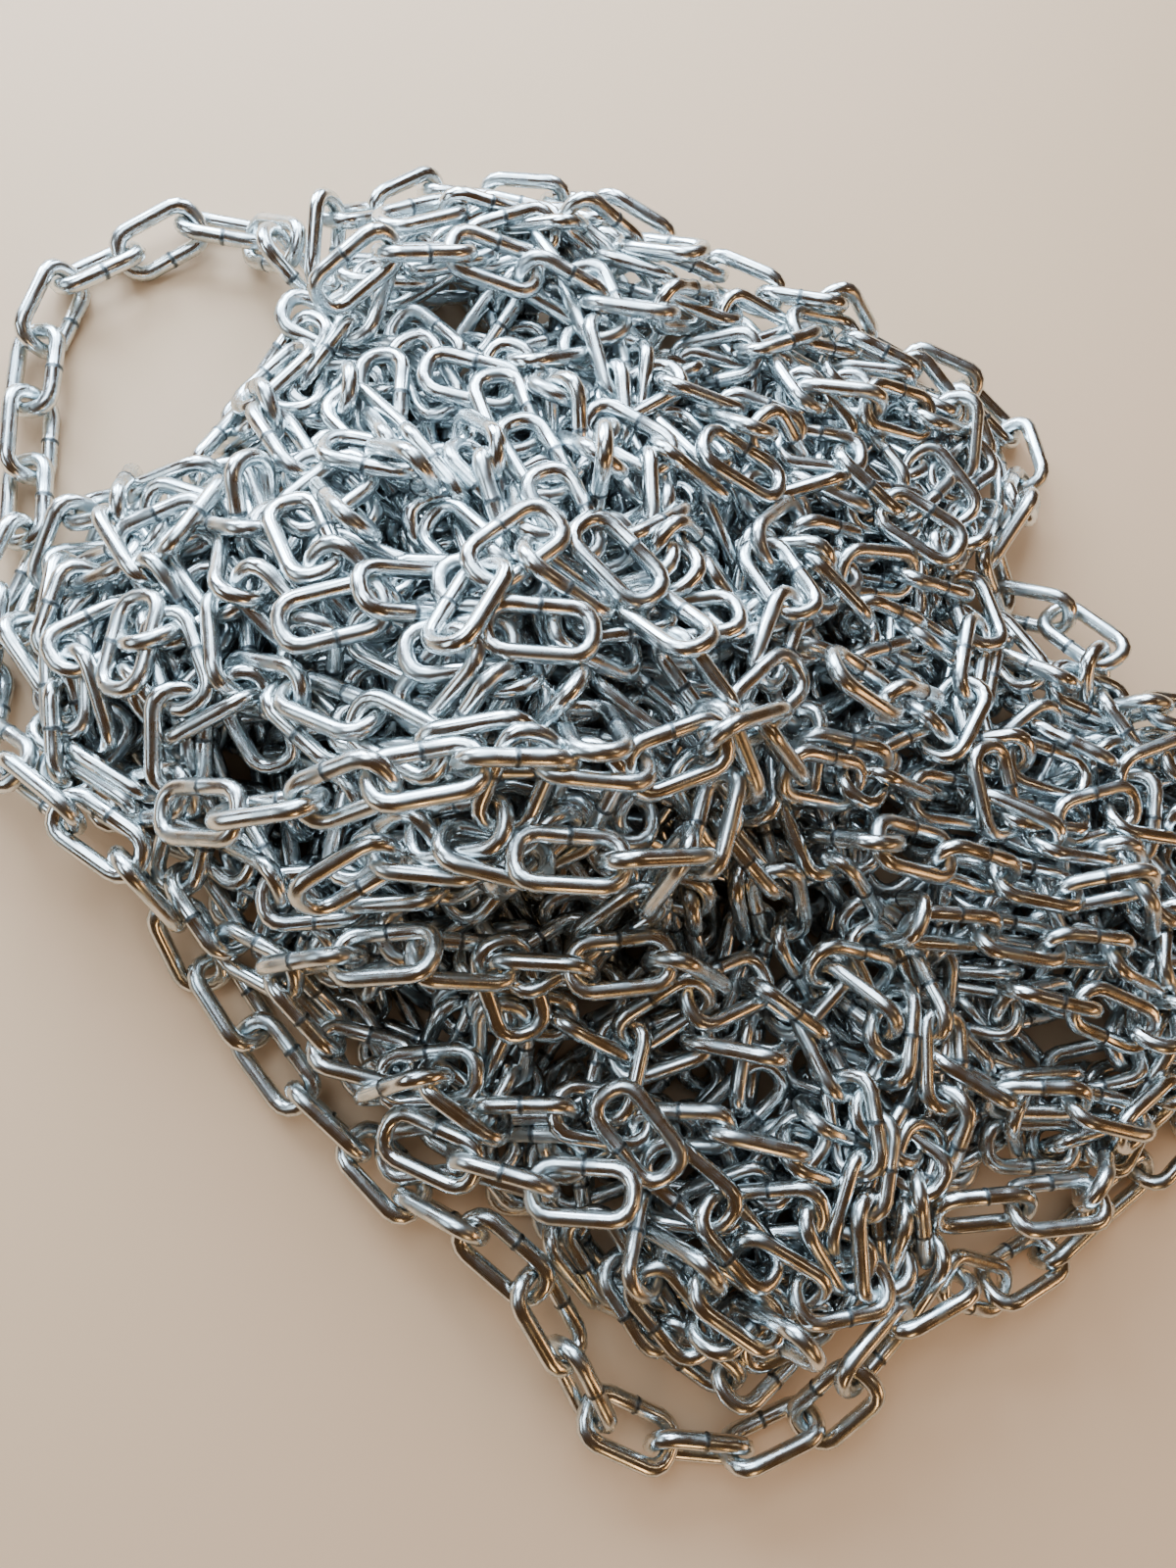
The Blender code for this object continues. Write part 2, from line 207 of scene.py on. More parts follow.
# %% Routes of the visible strands
RIM_ROUTES = (
    ("left_loop", ((-128, 172), (-146, 200), (-165, 219), (-196, 200), (-228, 178),
                   (-232, 150), (-232, 120), (-230, 88), (-231, 56))),
    ("left_rim", ((-240, 36), (-238, 4), (-214, -16), (-186, -34), (-166, -54))),
    ("front_left_rim", ((-160, -66), (-147, -90), (-128, -114), (-104, -138), (-76, -160),
                        (-46, -170))),
    ("front_tongue", ((-32, -192), (-30, -216), (-10, -232), (18, -240), (46, -236),
                      (68, -220), (76, -196))),
    ("front_right_rim", ((90, -180), (120, -192), (150, -180), (178, -160), (204, -144),
                         (226, -122))),
    ("right_rim", ((244, -94), (254, -64), (258, -34), (252, -4), (234, 18), (208, 30))),
    ("right_notch", ((160, 18), (176, 42), (172, 68), (146, 78))),
    ("far_right_lobe", ((118, 106), (146, 108), (166, 128), (162, 154), (138, 174), (110, 184),
                        (84, 186))),
    ("far_rim", ((72, 186), (46, 202), (20, 212), (-8, 218), (-30, 226))),
    ("crown", ((-42, 238), (-72, 242), (-98, 228), (-120, 208), (-142, 190))),
)
SUMMIT_ROUTES = (
    ("back_hollow", 5, -1, ((-108, 197), (-82, 208), (-54, 211), (-26, 205), (0, 195), (30, 188))),
    ("summit_left_hollow", 3, 1, ((-108, 134), (-100, 106), (-90, 80), (-86, 50))),
    ("summit_right_hollow", 4, -1, ((-50, 146), (-46, 118), (-38, 90), (-33, 62), (-42, 32))),
    ("left_hollow", 3, 1, ((-156, 82), (-142, 54), (-137, 26), (-140, -4))),
    ("brow", 8, 1, ((-164, -30), (-134, -34), (-104, -28), (-74, -22),
                    (-44, -26), (-14, -20), (12, -4), (34, 16))),
    ("summit_left", 4, -1, ((-150, 128), (-136, 100), (-120, 74), (-108, 46), (-108, 16))),
    ("summit_middle", 4, 1, ((-64, 12), (-66, 42), (-62, 72), (-78, 98), (-78, 130))),
    ("summit_right", 4, -1, ((-24, 138), (-16, 112), (-10, 84), (-4, 56), (-20, 30))),
    ("left_slope", 4, 1, ((-196, 98), (-186, 70), (-168, 46), (-166, 16), (-192, 4))),
    ("back_slope", 6, -1, ((-126, 160), (-98, 176), (-68, 180), (-38, 173), (-10, 166), (20, 170))),
    ("back_right_slope", 4, 1, ((44, 166), (58, 140), (88, 134), (116, 142), (142, 150))),
    ("right_back_slope", 4, -1, ((10, 132), (40, 112), (66, 106), (90, 94), (112, 74))),
    ("right_slope", 4, 1, ((26, 68), (56, 66), (84, 54), (112, 46), (138, 40))),
)
APRON_ROUTES = (
    ("front_hollow", 5, -1, ((-122, -54), (-94, -52), (-66, -46), (-38, -50), (-10, -46),
                             (20, -42))),
    ("front_step", 4, 1, ((-66, -95), (-38, -98), (-10, -101), (18, -105), (48, -107))),
    ("front_left_apron", 3, -1, ((-90, -130), (-64, -142), (-36, -150), (-10, -149))),
    ("front_right_hollow", 3, 1, ((98, -160), (126, -162), (154, -155), (180, -141))),
    ("right_hollow", 6, 1, ((44, -5), (72, -8), (100, -14), (128, -21), (156, -29),
                            (184, -33), (214, -26))),
    ("right_step", 5, -1, ((60, -57), (88, -60), (116, -65), (144, -69), (172, -72), (204, -71))),
    ("right_shoulder", 5, -1, ((46, 22), (76, 16), (106, 9), (134, 0), (162, -9), (192, -14))),
    ("right_apron", 6, 1, ((46, -34), (76, -34), (106, -42), (136, -46), (166, -52), (200, -50))),
    ("right_low_apron", 4, -1, ((226, -92), (194, -94), (164, -92), (134, -86), (108, -80))),
    ("front_face", 6, 1, ((-128, -66), (-98, -78), (-68, -72), (-38, -80), (-8, -74), (28, -78))),
    ("front_right_apron", 5, -1, ((58, -76), (84, -94), (110, -116), (140, -130), (176, -122))),
    ("front_apron", 7, 1, ((-106, -104), (-76, -116), (-46, -122), (-16, -130), (14, -128),
                           (44, -134), (76, -150))),
    ("tongue_middle", 3, -1, ((-6, -158), (10, -178), (30, -196), (54, -204))),
)
ZONES = {
    "rim_chain": [route[0] for route in RIM_ROUTES],
    "summit_chain": [route[0] for route in SUMMIT_ROUTES],
    "apron_chain": [route[0] for route in APRON_ROUTES],
}
PATH_STEP = 2.0
SPLINE_STEPS = 16


def smooth_path(points):
    """A smooth curve through way points, flat or in space, with a point every two millimetres."""
    pts = np.array(points, float)
    pts = np.vstack([2 * pts[0] - pts[1], pts, 2 * pts[-1] - pts[-2]])
    fine = []
    for k in range(1, len(pts) - 2):
        a, b, c, d = pts[k - 1:k + 3]
        for t in np.linspace(0.0, 1.0, SPLINE_STEPS, endpoint=False):
            fine.append(0.5 * (2 * b + (c - a) * t + (2 * a - 5 * b + 4 * c - d) * t**2
                               + (3 * b - a - 3 * c + d) * t**3))
    fine = np.array(fine + [pts[-2]])
    length = np.append(0.0, np.cumsum(np.linalg.norm(np.diff(fine, axis=0), axis=1)))
    even = np.arange(0.0, length[-1], PATH_STEP)
    return np.column_stack([np.interp(even, length, fine[:, k]) for k in range(fine.shape[1])])


def run_nodes(name):
    """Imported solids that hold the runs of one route."""
    return sorted(n for n in frame["nodes"] if n.startswith(name + "_run"))


print("routes:", sum(len(names) for names in ZONES.values()))

# %% [markdown]
# Laying one strand
#
# A strand is a row of links on a line. Links alternate between two leans a quarter turn apart,
# as links that hang in each other must, and the whole row slowly twists, as loose chain does.
# The heap itself is a few growing arrays: where the middle of each link is and where it was
# laid, how it is turned, which link it hangs in next, which strand it belongs to, and how many
# links it is from that strand's nearer end.

# %% The heap
SEED = 11
random = np.random.default_rng(SEED)


class Heap:
    """All links laid so far, in millimetres."""

    def __init__(self):
        self.middles, self.home = np.zeros((0, 3)), np.zeros((0, 3))
        self.turns = np.zeros((0, 3, 3))
        self.next_link, self.strand, self.from_end = (np.zeros(0, int) for _ in range(3))
        self.names = []

    def loose(self):
        """Links that aren't drawn to a place of their own."""
        return np.array([name == "fill" for name in self.names])[self.strand]


print("random numbers start from seed", SEED)

# %% How a strand is laid
LEAN_SPREAD = math.radians(10.0)
TWIST = math.radians(32.0)
TWIST_PACE = 0.55


def lay(heap, name, line, count, side, pitch):
    """Add a strand of links along a line in space."""
    joints, seat = [line[0]], 0
    while len(joints) <= count:
        gaps = np.linalg.norm(line[seat:] - joints[-1], axis=1)
        if not (gaps >= pitch).any():
            break
        seat += int(np.argmax(gaps >= pitch))
        way = line[seat] - joints[-1]
        joints.append(joints[-1] + way / np.linalg.norm(way) * pitch)
    count, first = len(joints) - 1, len(heap.middles)
    middles, turns = [], []
    phase = random.uniform(0.0, 2.0 * math.pi)
    for k, (a, b) in enumerate(zip(joints, joints[1:])):
        along = (b - a) / np.linalg.norm(b - a)
        level = np.cross((0.0, 0.0, 1.0), along)
        level /= np.linalg.norm(level)
        lean = (side if k % 2 == 0 else -side) * ROLL + LEAN_SPREAD * random.normal()
        lean += TWIST * math.sin(TWIST_PACE * k + phase)
        width = math.cos(lean) * level + math.sin(lean) * np.cross(along, level)
        middles.append((a + b) / 2.0)
        turns.append(np.column_stack([along, width, np.cross(along, width)]))
    after = np.arange(first + 1, first + count + 1)
    after[-1] = -1
    heap.middles = np.vstack([heap.middles, middles])
    heap.home = np.vstack([heap.home, middles])
    heap.turns = np.concatenate([heap.turns, turns])
    heap.next_link = np.append(heap.next_link, after)
    heap.strand = np.append(heap.strand, np.full(count, len(heap.names)))
    heap.from_end = np.append(heap.from_end, np.minimum(np.arange(count), np.arange(count)[::-1]))
    heap.names.append(name)
    return np.arange(first, first + count)


print("a strand twists up to %.0f degrees to each side" % math.degrees(TWIST))

# %% [markdown]
# Lines for the strands
#
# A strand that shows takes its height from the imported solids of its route: halfway between the
# lowest and the highest of their points near each place, and evened out along the way.

# %% Lines in space
ROUTE_HALF_WIDTH = 12.0
FEWEST_POINTS = 30
HEIGHT_WINDOW = 9
KEEP_EVERY = 8
SPACED_OUT = 14.0


def eased(values, window, pick):
    """The highest or the mean value around each place on a path."""
    padded = np.pad(values, window, mode="edge")
    return np.array([pick(padded[k:k + 2 * window + 1]) for k in range(len(values))])


def route_line(name, points):
    """A route's line in space, at the height of the solids that it stands for."""
    path = smooth_path(points)
    solid = np.concatenate([np.array([v.co[:] for v in frame["nodes"][node].data.vertices])
                            for node in run_nodes(name)]) * METRE
    heights = []
    for x, y in path:
        off = np.hypot(solid[:, 0] - x, solid[:, 1] - y)
        near = off < max(ROUTE_HALF_WIDTH, np.sort(off)[FEWEST_POINTS])
        heights.append((solid[near, 2].min() + solid[near, 2].max()) / 2.0)
    return np.column_stack([path, eased(np.array(heights), HEIGHT_WINDOW, np.mean)])


def prolonged(line, length):
    """A line that runs straight on past its end, level."""
    way = (line[-1] - line[-3]) * (1.0, 1.0, 0.0)
    steps = np.arange(PATH_STEP, length, PATH_STEP)[:, None]
    return np.vstack([line, line[-1] + steps * way / np.linalg.norm(way)])


def joined(lines):
    """One line that runs through several lines in turn."""
    way_points = [lines[0][0]]
    for line in lines:
        for point in line[::KEEP_EVERY]:
            if np.linalg.norm(point - way_points[-1]) > SPACED_OUT:
                way_points.append(point)
    return smooth_path(way_points)


print("heights are evened out over %.0f mm" % (2 * HEIGHT_WINDOW * PATH_STEP))

# %% [markdown]
# Letting the heap settle
#
# Blender's rigid bodies can't take a thousand interlocked rings, so the settling is written
# here. Each link is a rigid ring of twenty balls as thick as the wire. Again and again, the loose
# links sink a little, and wherever two balls overlap, or a ball is under the floor, its link is
# pushed and turned just far enough to clear. Links that hang in each other are never allowed
# further apart than taut. The visible strands are drawn home, the others stay under the cover,
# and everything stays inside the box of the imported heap. Nothing in the settling is random.

# %% The balls of one link
BALLS = 20
WIRE_SPREAD = 2.0
ring_length = 4.0 * HALF_SIDE + 2.0 * math.pi * CROWN


def ring_ball(s):
    """Place on the middle line of a link, from the length run along it."""
    side, arc = 2.0 * HALF_SIDE, math.pi * CROWN
    s = (s + HALF_SIDE) % ring_length
    if s < side:
        return s - HALF_SIDE, -CROWN
    if s < side + arc:
        angle = (s - side) / CROWN - math.pi / 2.0
        return HALF_SIDE + CROWN * math.cos(angle), CROWN * math.sin(angle)
    if s < 2.0 * side + arc:
        return HALF_SIDE - (s - side - arc), CROWN
    angle = (s - 2.0 * side - arc) / CROWN + math.pi / 2.0
    return -HALF_SIDE + CROWN * math.cos(angle), CROWN * math.sin(angle)


ball_at = np.array([(*ring_ball((k + 0.5) * ring_length / BALLS), 0.0) for k in range(BALLS)])
spread = [(ball_at[:, 1]**2).mean(), (ball_at[:, 0]**2).mean(), (ball_at**2).sum(axis=1).mean()]
ease = 1.0 / (np.array(spread) + WIRE_SPREAD)
print("each link is tested with", BALLS, "balls")

# %% [markdown]
# Turning links
#
# A link's turn is a three by three matrix whose columns are its long axis, its wide axis and the
# normal of its plane. The functions below turn all links at once, which is what makes numpy fast.
# Long thin things turn easily about their length and hardly across it, and the ease with which a
# link turns about each of its axes follows from how far its balls lie from that axis.

# %% Turning many links at once
def cross(a, b):
    """Cross products of two lists of vectors."""
    return np.stack([a[:, 1] * b[:, 2] - a[:, 2] * b[:, 1], a[:, 2] * b[:, 0] - a[:, 0] * b[:, 2],
                     a[:, 0] * b[:, 1] - a[:, 1] * b[:, 0]], axis=1)


def turned(turns, by):
    """Turn each link by a small rotation vector."""
    size = np.linalg.norm(by, axis=1)
    x, y, z = (by / np.maximum(size, 1e-12)[:, None]).T
    spin = np.zeros((len(by), 3, 3))
    spin[:, 0, 1], spin[:, 0, 2], spin[:, 1, 2] = -z, y, -x
    spin[:, 1, 0], spin[:, 2, 0], spin[:, 2, 1] = z, -y, x
    sine, cosine = np.sin(size)[:, None, None], np.cos(size)[:, None, None]
    return (np.eye(3) + sine * spin + (1.0 - cosine) * (spin @ spin)) @ turns


def squared(turns):
    """Turns with their small errors of length and angle taken out."""
    along = turns[:, :, 0] / np.linalg.norm(turns[:, :, 0], axis=1)[:, None]
    wide = turns[:, :, 1] - along * (along * turns[:, :, 1]).sum(axis=1)[:, None]
    wide /= np.linalg.norm(wide, axis=1)[:, None]
    return np.stack([along, wide, cross(along, wide)], axis=2)


def swing(turns, links, lever):
    """How far a unit push at the end of a lever turns its link."""
    local = np.einsum("nji,nj->ni", turns[links], lever)
    return np.einsum("nij,nj->ni", turns[links], local * ease)


print("a link turns %.1f times as easily about its length as across it" % (ease[0] / ease[1]))

# %% [markdown]
# Finding neighbours
#
# Twenty thousand balls make far too many pairs to measure them all. So space is cut into cells as
# large as the longest distance that matters, the balls are sorted by cell, and each ball is only
# compared with those of its own cell and the cells around it. Half of the cells around are
# enough, as the other half would give each pair a second time.

# %% Neighbouring balls
def arms_and_balls(heap):
    """Every ball's arm from its link's middle, and its place."""
    arms = np.einsum("nij,kj->nki", heap.turns, ball_at).reshape(-1, 3)
    return arms, np.repeat(heap.middles, BALLS, axis=0) + arms


def near_pairs(balls, link_of, reach):
    """Pairs of balls of different links that are closer than the reach."""
    cells = np.floor((balls - balls.min(axis=0)) / reach).astype(np.int64) + 1
    size = cells.max(axis=0) + 2
    key = (cells[:, 0] * size[1] + cells[:, 1]) * size[2] + cells[:, 2]
    order = np.argsort(key, kind="stable")
    ranked = key[order]
    number = np.arange(len(balls))
    firsts, seconds = [], []
    for shift in [(x, y, z) for x in (0, 1) for y in (-1, 0, 1) for z in (-1, 0, 1)]:
        if shift < (0, 0, 0):
            continue
        other = ranked + (shift[0] * size[1] + shift[1]) * size[2] + shift[2]
        start = np.searchsorted(ranked, other, side="left")
        end = np.searchsorted(ranked, other, side="right")
        if shift == (0, 0, 0):
            start = number + 1
        count = np.maximum(end - start, 0)
        step = np.arange(count.sum()) - np.repeat(np.cumsum(count) - count, count)
        firsts.append(np.repeat(number, count))
        seconds.append(np.repeat(start, count) + step)
    a, b = order[np.concatenate(firsts)], order[np.concatenate(seconds)]
    apart = balls[a] - balls[b]
    keep = (link_of[a] != link_of[b]) & ((apart * apart).sum(axis=1) < reach * reach)
    return a[keep], b[keep]


print("balls meet when their middles are closer than %.0f mm" % WIRE)

# %% [markdown]
# Pushes
#
# An overlap is shared between its two links. A push at the end of a long arm mostly turns a link
# and a push at its middle mostly moves it, so each push is divided by how easily the links give
# way there: one for the move of each link, and more for what it can turn. Two links that hang in
# each other are held at the centres of their nearest crowns.

# %% Pushes on the links
def press_apart(heap, arms, balls, first, second, link_of):
    """Pushes that part overlapping balls of two links."""
    apart = balls[first] - balls[second]
    square = (apart * apart).sum(axis=1)
    hit = square < WIRE * WIRE
    distance = np.sqrt(square[hit])
    way = apart[hit] / np.maximum(distance, 1e-6)[:, None]
    a, b = first[hit], second[hit]
    lever_a, lever_b = cross(arms[a], way), cross(arms[b], way)
    swing_a, swing_b = swing(heap.turns, link_of[a], lever_a), swing(heap.turns, link_of[b], lever_b)
    give = 2.0 + (lever_a * swing_a).sum(axis=1) + (lever_b * swing_b).sum(axis=1)
    push = ((WIRE - distance) / give)[:, None]
    return ([link_of[a], link_of[b]], [way * push, -way * push],
            [swing_a * push, -swing_b * push], WIRE - distance)


def press_one(heap, arms, link_of, hits, way, depth):
    """Pushes on single balls, from the floor, the cover or a wall."""
    lever = cross(arms[hits], way)
    spin = swing(heap.turns, link_of[hits], lever)
    push = (depth / (1.0 + (lever * spin).sum(axis=1)))[:, None]
    return link_of[hits], way * push, spin * push


print("pushes between two balls and on one ball")

# %% Joints drawn back to taut
def draw_together(heap, sets):
    """Bring links that hang in each other back to taut, every second joint at a time."""
    for before in sets:
        after = heap.next_link[before]
        arm_a, arm_b = heap.turns[before, :, 0] * HALF_SIDE, -heap.turns[after, :, 0] * HALF_SIDE
        apart = heap.middles[after] + arm_b - heap.middles[before] - arm_a
        distance = np.linalg.norm(apart, axis=1)
        tight = distance > TAUT
        before, after, arm_a, arm_b = before[tight], after[tight], arm_a[tight], arm_b[tight]
        way = apart[tight] / distance[tight, None]
        lever_a, lever_b = cross(arm_a, way), cross(arm_b, way)
        swing_a = swing(heap.turns, before, lever_a)
        swing_b = swing(heap.turns, after, lever_b)
        give = 2.0 + (lever_a * swing_a).sum(axis=1) + (lever_b * swing_b).sum(axis=1)
        push = ((distance[tight] - TAUT) / give)[:, None]
        heap.middles[before] += way * push
        heap.middles[after] -= way * push
        heap.turns[before] = turned(heap.turns[before], swing_a * push)
        heap.turns[after] = turned(heap.turns[after], -swing_b * push)


print("a joint gives up to %.0f mm between the crowns' centres" % TAUT)

# %% [markdown]
# One spell
#
# All pushes of one step are found first and then applied together, so a link with many neighbours
# would be thrown about. That is why its pushes are toned down by their number, and why no step is
# longer than a largest move. Loose links sink less and less, so that the heap comes to rest.
# The ends of a loose strand are tucked deeper under the cover than its middle.

# %% What holds the links in
CAP_PUSH, CAP_DEPTH = 0.25, 6.0
WALL_PUSH, WALL_DEPTH = 0.3, 5.0
WALL_INSET = 3.0
FLOOR = WIRE / 2.0 + 0.3
BOX_INSET = WIRE / 2.0 + 0.9
UP, DOWN = (0.0, 0.0, 1.0), (0.0, 0.0, -1.0)
box_low = np.array(CAD_BOX[0][:2]) * METRE + BOX_INSET
box_high = np.array(CAD_BOX[1][:2]) * METRE - BOX_INSET
box_top = CAD_BOX[1][2] * METRE - BOX_INSET


def single_pushes(balls, loose_ball, cap_low, tuck_ball):
    """Balls that the floor, the box, the rim or the cover pushes back, which way and how far."""
    low, high = np.flatnonzero(balls[:, 2] < FLOOR), np.flatnonzero(balls[:, 2] > box_top)
    yield low, np.tile(UP, (len(low), 1)), FLOOR - balls[low, 2]
    yield high, np.tile(DOWN, (len(high), 1)), balls[high, 2] - box_top
    for k in (0, 1):
        past = np.minimum(balls[:, k] - box_low[k], 0.0) + np.maximum(balls[:, k] - box_high[k], 0.0)
        hits = np.flatnonzero(past)
        way = np.zeros((len(hits), 3))
        way[:, k] = -np.sign(past[hits])
        yield hits, way, np.abs(past[hits])
    i, j = cell_of(balls[:, 0], balls[:, 1])
    outside = WALL_INSET - inside[i, j]
    hits = np.flatnonzero((outside > 0.0) & loose_ball)
    inward = [inward_x[i[hits], j[hits]], inward_y[i[hits], j[hits]], np.zeros(len(hits))]
    yield hits, np.column_stack(inward), WALL_PUSH * np.minimum(outside[hits], WALL_DEPTH)
    if cap_low is not None:
        over = balls[:, 2] + WIRE / 2.0 - cover[i, j] + cap_low + tuck_ball
        hits = np.flatnonzero((over > 0.0) & (outside <= 0.0) & loose_ball)
        yield hits, np.tile(DOWN, (len(hits), 1)), CAP_PUSH * np.minimum(over[hits], CAP_DEPTH)


print("the floor holds the middles of the balls %.1f mm up" % FLOOR)

# %% Helpers of a spell
LARGEST_MOVE, LARGEST_TURN = 1.5, 0.12


def limited(steps, largest):
    """Steps shortened to a largest length."""
    return steps * np.minimum(1.0, largest / np.maximum(np.linalg.norm(steps, axis=1), 1e-9))[:, None]


def halves_of_joints(heap):
    """First links of all joints, in two sets in which no link comes twice."""
    has_next = np.flatnonzero(heap.next_link >= 0)
    even = np.zeros(len(heap.middles), int)
    for k in has_next:
        even[heap.next_link[k]] = 1 - even[k]
    return [has_next[even[has_next] == half] for half in (0, 1)]


print("no step moves a link more than %.1f mm" % LARGEST_MOVE)

# %% One spell of settling
TUCK, TUCK_LINKS = 12.0, 3.0
CROWD_SHARE, CROWD_POWER = 2.2, 0.7
LEAST_PULL = 0.1
NEAR_ENOUGH = WIRE + 2.0
SEARCH_EVERY, SQUARE_EVERY = 6, 40


def settle(heap, steps, sink, pull, cap_low=None):
    """Let the links find their places, with sinking and drawing home that fade away."""
    total = len(heap.middles)
    link_of = np.repeat(np.arange(total), BALLS)
    loose = heap.loose()
    sets = halves_of_joints(heap)
    tuck = TUCK * np.clip(1.0 - heap.from_end / TUCK_LINKS, 0.0, 1.0) * loose
    for step in range(steps):
        fade = 1.0 - step / steps
        heap.middles[loose, 2] -= np.broadcast_to(sink, total)[loose] * fade
        arms, balls = arms_and_balls(heap)
        if step % SEARCH_EVERY == 0:
            first, second = near_pairs(balls, link_of, NEAR_ENOUGH)
        links, moves, spins, overlap = press_apart(heap, arms, balls, first, second, link_of)
        for hits, way, depth in single_pushes(balls, loose[link_of], cap_low, tuck[link_of]):
            link, move, spin = press_one(heap, arms, link_of, hits, way, depth)
            links.append(link)
            moves.append(move)
            spins.append(spin)
        links, moves, spins = (np.concatenate(part) for part in (links, moves, spins))
        count = np.maximum(np.bincount(links, minlength=total), 1.0)
        share = np.minimum(CROWD_SHARE / count**CROWD_POWER, 1.0)[:, None]
        move = np.column_stack([np.bincount(links, moves[:, k], total) for k in range(3)]) * share
        spin = np.column_stack([np.bincount(links, spins[:, k], total) for k in range(3)]) * share
        move[~loose] += (heap.home - heap.middles)[~loose] * pull * max(fade, LEAST_PULL)
        heap.middles += limited(move, LARGEST_MOVE)
        heap.turns = turned(heap.turns, limited(spin, LARGEST_TURN))
        draw_together(heap, sets)
        if step % SQUARE_EVERY == SQUARE_EVERY - 1:
            heap.turns = squared(heap.turns)
    heap.turns = squared(heap.turns)
    _, balls = arms_and_balls(heap)
    low = balls[:, 2].reshape(total, BALLS).min(axis=1)
    heap.middles[:, 2] += np.maximum(FLOOR - low, 0.0)
    return overlap


print("neighbours are looked for every %d steps" % SEARCH_EVERY)

# %% [markdown]
# The visible rim
#
# The strand that lies on the floor around the heap comes first, as one long chain that runs
# through all of the rim's routes and back into its own first link.

# %% Lay the rim
RIM_SLACK = 1.0
RIM_STEPS = 60
RIM_PULL = 0.1
ALL_THAT_FIT = 99
heap = Heap()
rim_lines = [route_line(name, points) for name, points in RIM_ROUTES]
rim_line = joined(rim_lines + [rim_lines[0][:1]])
rim_length = np.linalg.norm(np.diff(rim_line, axis=0), axis=1).sum()
rim_pitch = rim_length / (rim_length // (PITCH - RIM_SLACK))
rim_links = lay(heap, "rim_chain", rim_line, ALL_THAT_FIT, 1, rim_pitch)
heap.next_link[rim_links[-1]] = rim_links[0]
heap.from_end[rim_links] = len(rim_links)
overlap = settle(heap, RIM_STEPS, 0.0, RIM_PULL)
print("links", len(heap.middles), "worst overlap %.2f mm" % overlap.max())

# %% [markdown]
# The rest of the chain
#
# A real heap is one long chain that was let down on itself. To imitate that, strands wander over
# the heap like somebody who walks without a goal. The walker keeps most of the bend from one
# stride to the next, and near the rim turns until the heap lies ahead again. To know where chain
# is still missing, the highest wire in each cell of the map is compared with the cover.

# %% Wandering strands
LAY_PITCH = 25.5
LAY_LIFT = 9.5
TOP_ROUGHNESS = 7.0
FILL_FROM = 14.0
BLUR_CELLS = 6
NO_NEED = -99.0
STRIDE = 4.0
BEND_KEPT, BEND_SHAKE, TIGHTEST_BEND = 0.93, 0.012, 1.0 / 20.0
SHY_OF_RIM, AT_RIM, TURN_AWAY = 36.0, 9.0, 1.0 / 18.0
FACING_IN = math.radians(80.0)
SHORTEST_WALK = 20
fillable = inside > FILL_FROM


def ground_of(heap):
    """Height map of the heap as it lies now."""
    _, balls = arms_and_balls(heap)
    i, j = cell_of(balls[:, 0], balls[:, 1])
    ground = np.zeros_like(cover)
    for di in (-1, 0, 1):
        for dj in (-1, 0, 1):
            np.maximum.at(ground, (i + di, j + dj), balls[:, 2] + WIRE / 2.0)
    return ground


def blurred(field, cells):
    """Mean of a map over a square around each cell."""
    size = 2 * cells + 1
    total = np.pad(field, ((cells + 1, cells), (cells + 1, cells)), mode="edge").cumsum(0).cumsum(1)
    return (total[size:, size:] - total[:-size, size:] - total[size:, :-size]
            + total[:-size, :-size]) / size**2


def still_to_fill(ground):
    """How far the heap is below its cover, cell by cell."""
    return np.where(fillable, cover - TOP_ROUGHNESS - blurred(ground, BLUR_CELLS), NO_NEED)


def wander(start, links):
    """A smooth random walk from a place, which keeps off the rim."""
    place, heading, bend = np.array(start, float), random.uniform(0.0, 2.0 * math.pi), 0.0
    points = [place]
    for _ in range(int(links * LAY_PITCH / STRIDE)):
        bend = BEND_KEPT * bend + random.normal(0.0, BEND_SHAKE)
        bend = np.clip(bend, -TIGHTEST_BEND, TIGHTEST_BEND)
        i, j = cell_of(place[0], place[1])
        curve = bend
        if inside[i, j] < SHY_OF_RIM:
            aside = math.atan2(inward_y[i, j], inward_x[i, j]) - heading
            aside = (aside + math.pi) % (2.0 * math.pi) - math.pi
            if abs(aside) > FACING_IN:
                curve = math.copysign(TURN_AWAY, aside)
        heading += curve * STRIDE
        place = place + STRIDE * np.array([math.cos(heading), math.sin(heading)])
        i, j = cell_of(place[0], place[1])
        if inside[i, j] < AT_RIM:
            break
        points.append(place)
    return smooth_path(points) if len(points) > SHORTEST_WALK else None


print("%d cells of the map are to be filled" % fillable.sum())

# %% [markdown]
# Batches
#
# The strands come in batches: each batch starts where the heap is still lowest, lies over
# whatever is there, and is left to settle before the next. A few walks are tried for each
# strand, and the one over the places that lack most is laid. The strands that show on the
# summit, the slopes and the apron are laid at their own places, with both ends dipping into the
# heap.

# %% Laying a batch
BATCH_LINKS = 110
WALK_LINKS = (12, 30)
TRIES = 6
NEEDIEST = 500
STRAND_HEIGHT = 1.5
CAPPED_FROM = 500
NEW_SINK, OLD_SINK = 0.45, 0.08
PULL = 0.06
SPELL_STEPS = 70
DRAPE_CELLS, DRAPE_PEAKS, DRAPE_MEANS = 4, 6, 8
COVERED_CELLS, COVERED_EVERY = 8, 6


def highest_near(ground, x, y, cells):
    """The highest wire within some cells of each place."""
    return np.array([ground[a - cells:a + cells + 1, b - cells:b + cells + 1].max()
                     for a, b in zip(*cell_of(x, y))])


def draped(path, ground):
    """A line over the heap along a path in plan."""
    below = highest_near(ground, path[:, 0], path[:, 1], DRAPE_CELLS)
    below = eased(eased(below, DRAPE_PEAKS, np.max), DRAPE_MEANS, np.mean)
    return np.column_stack([path, below + LAY_LIFT])


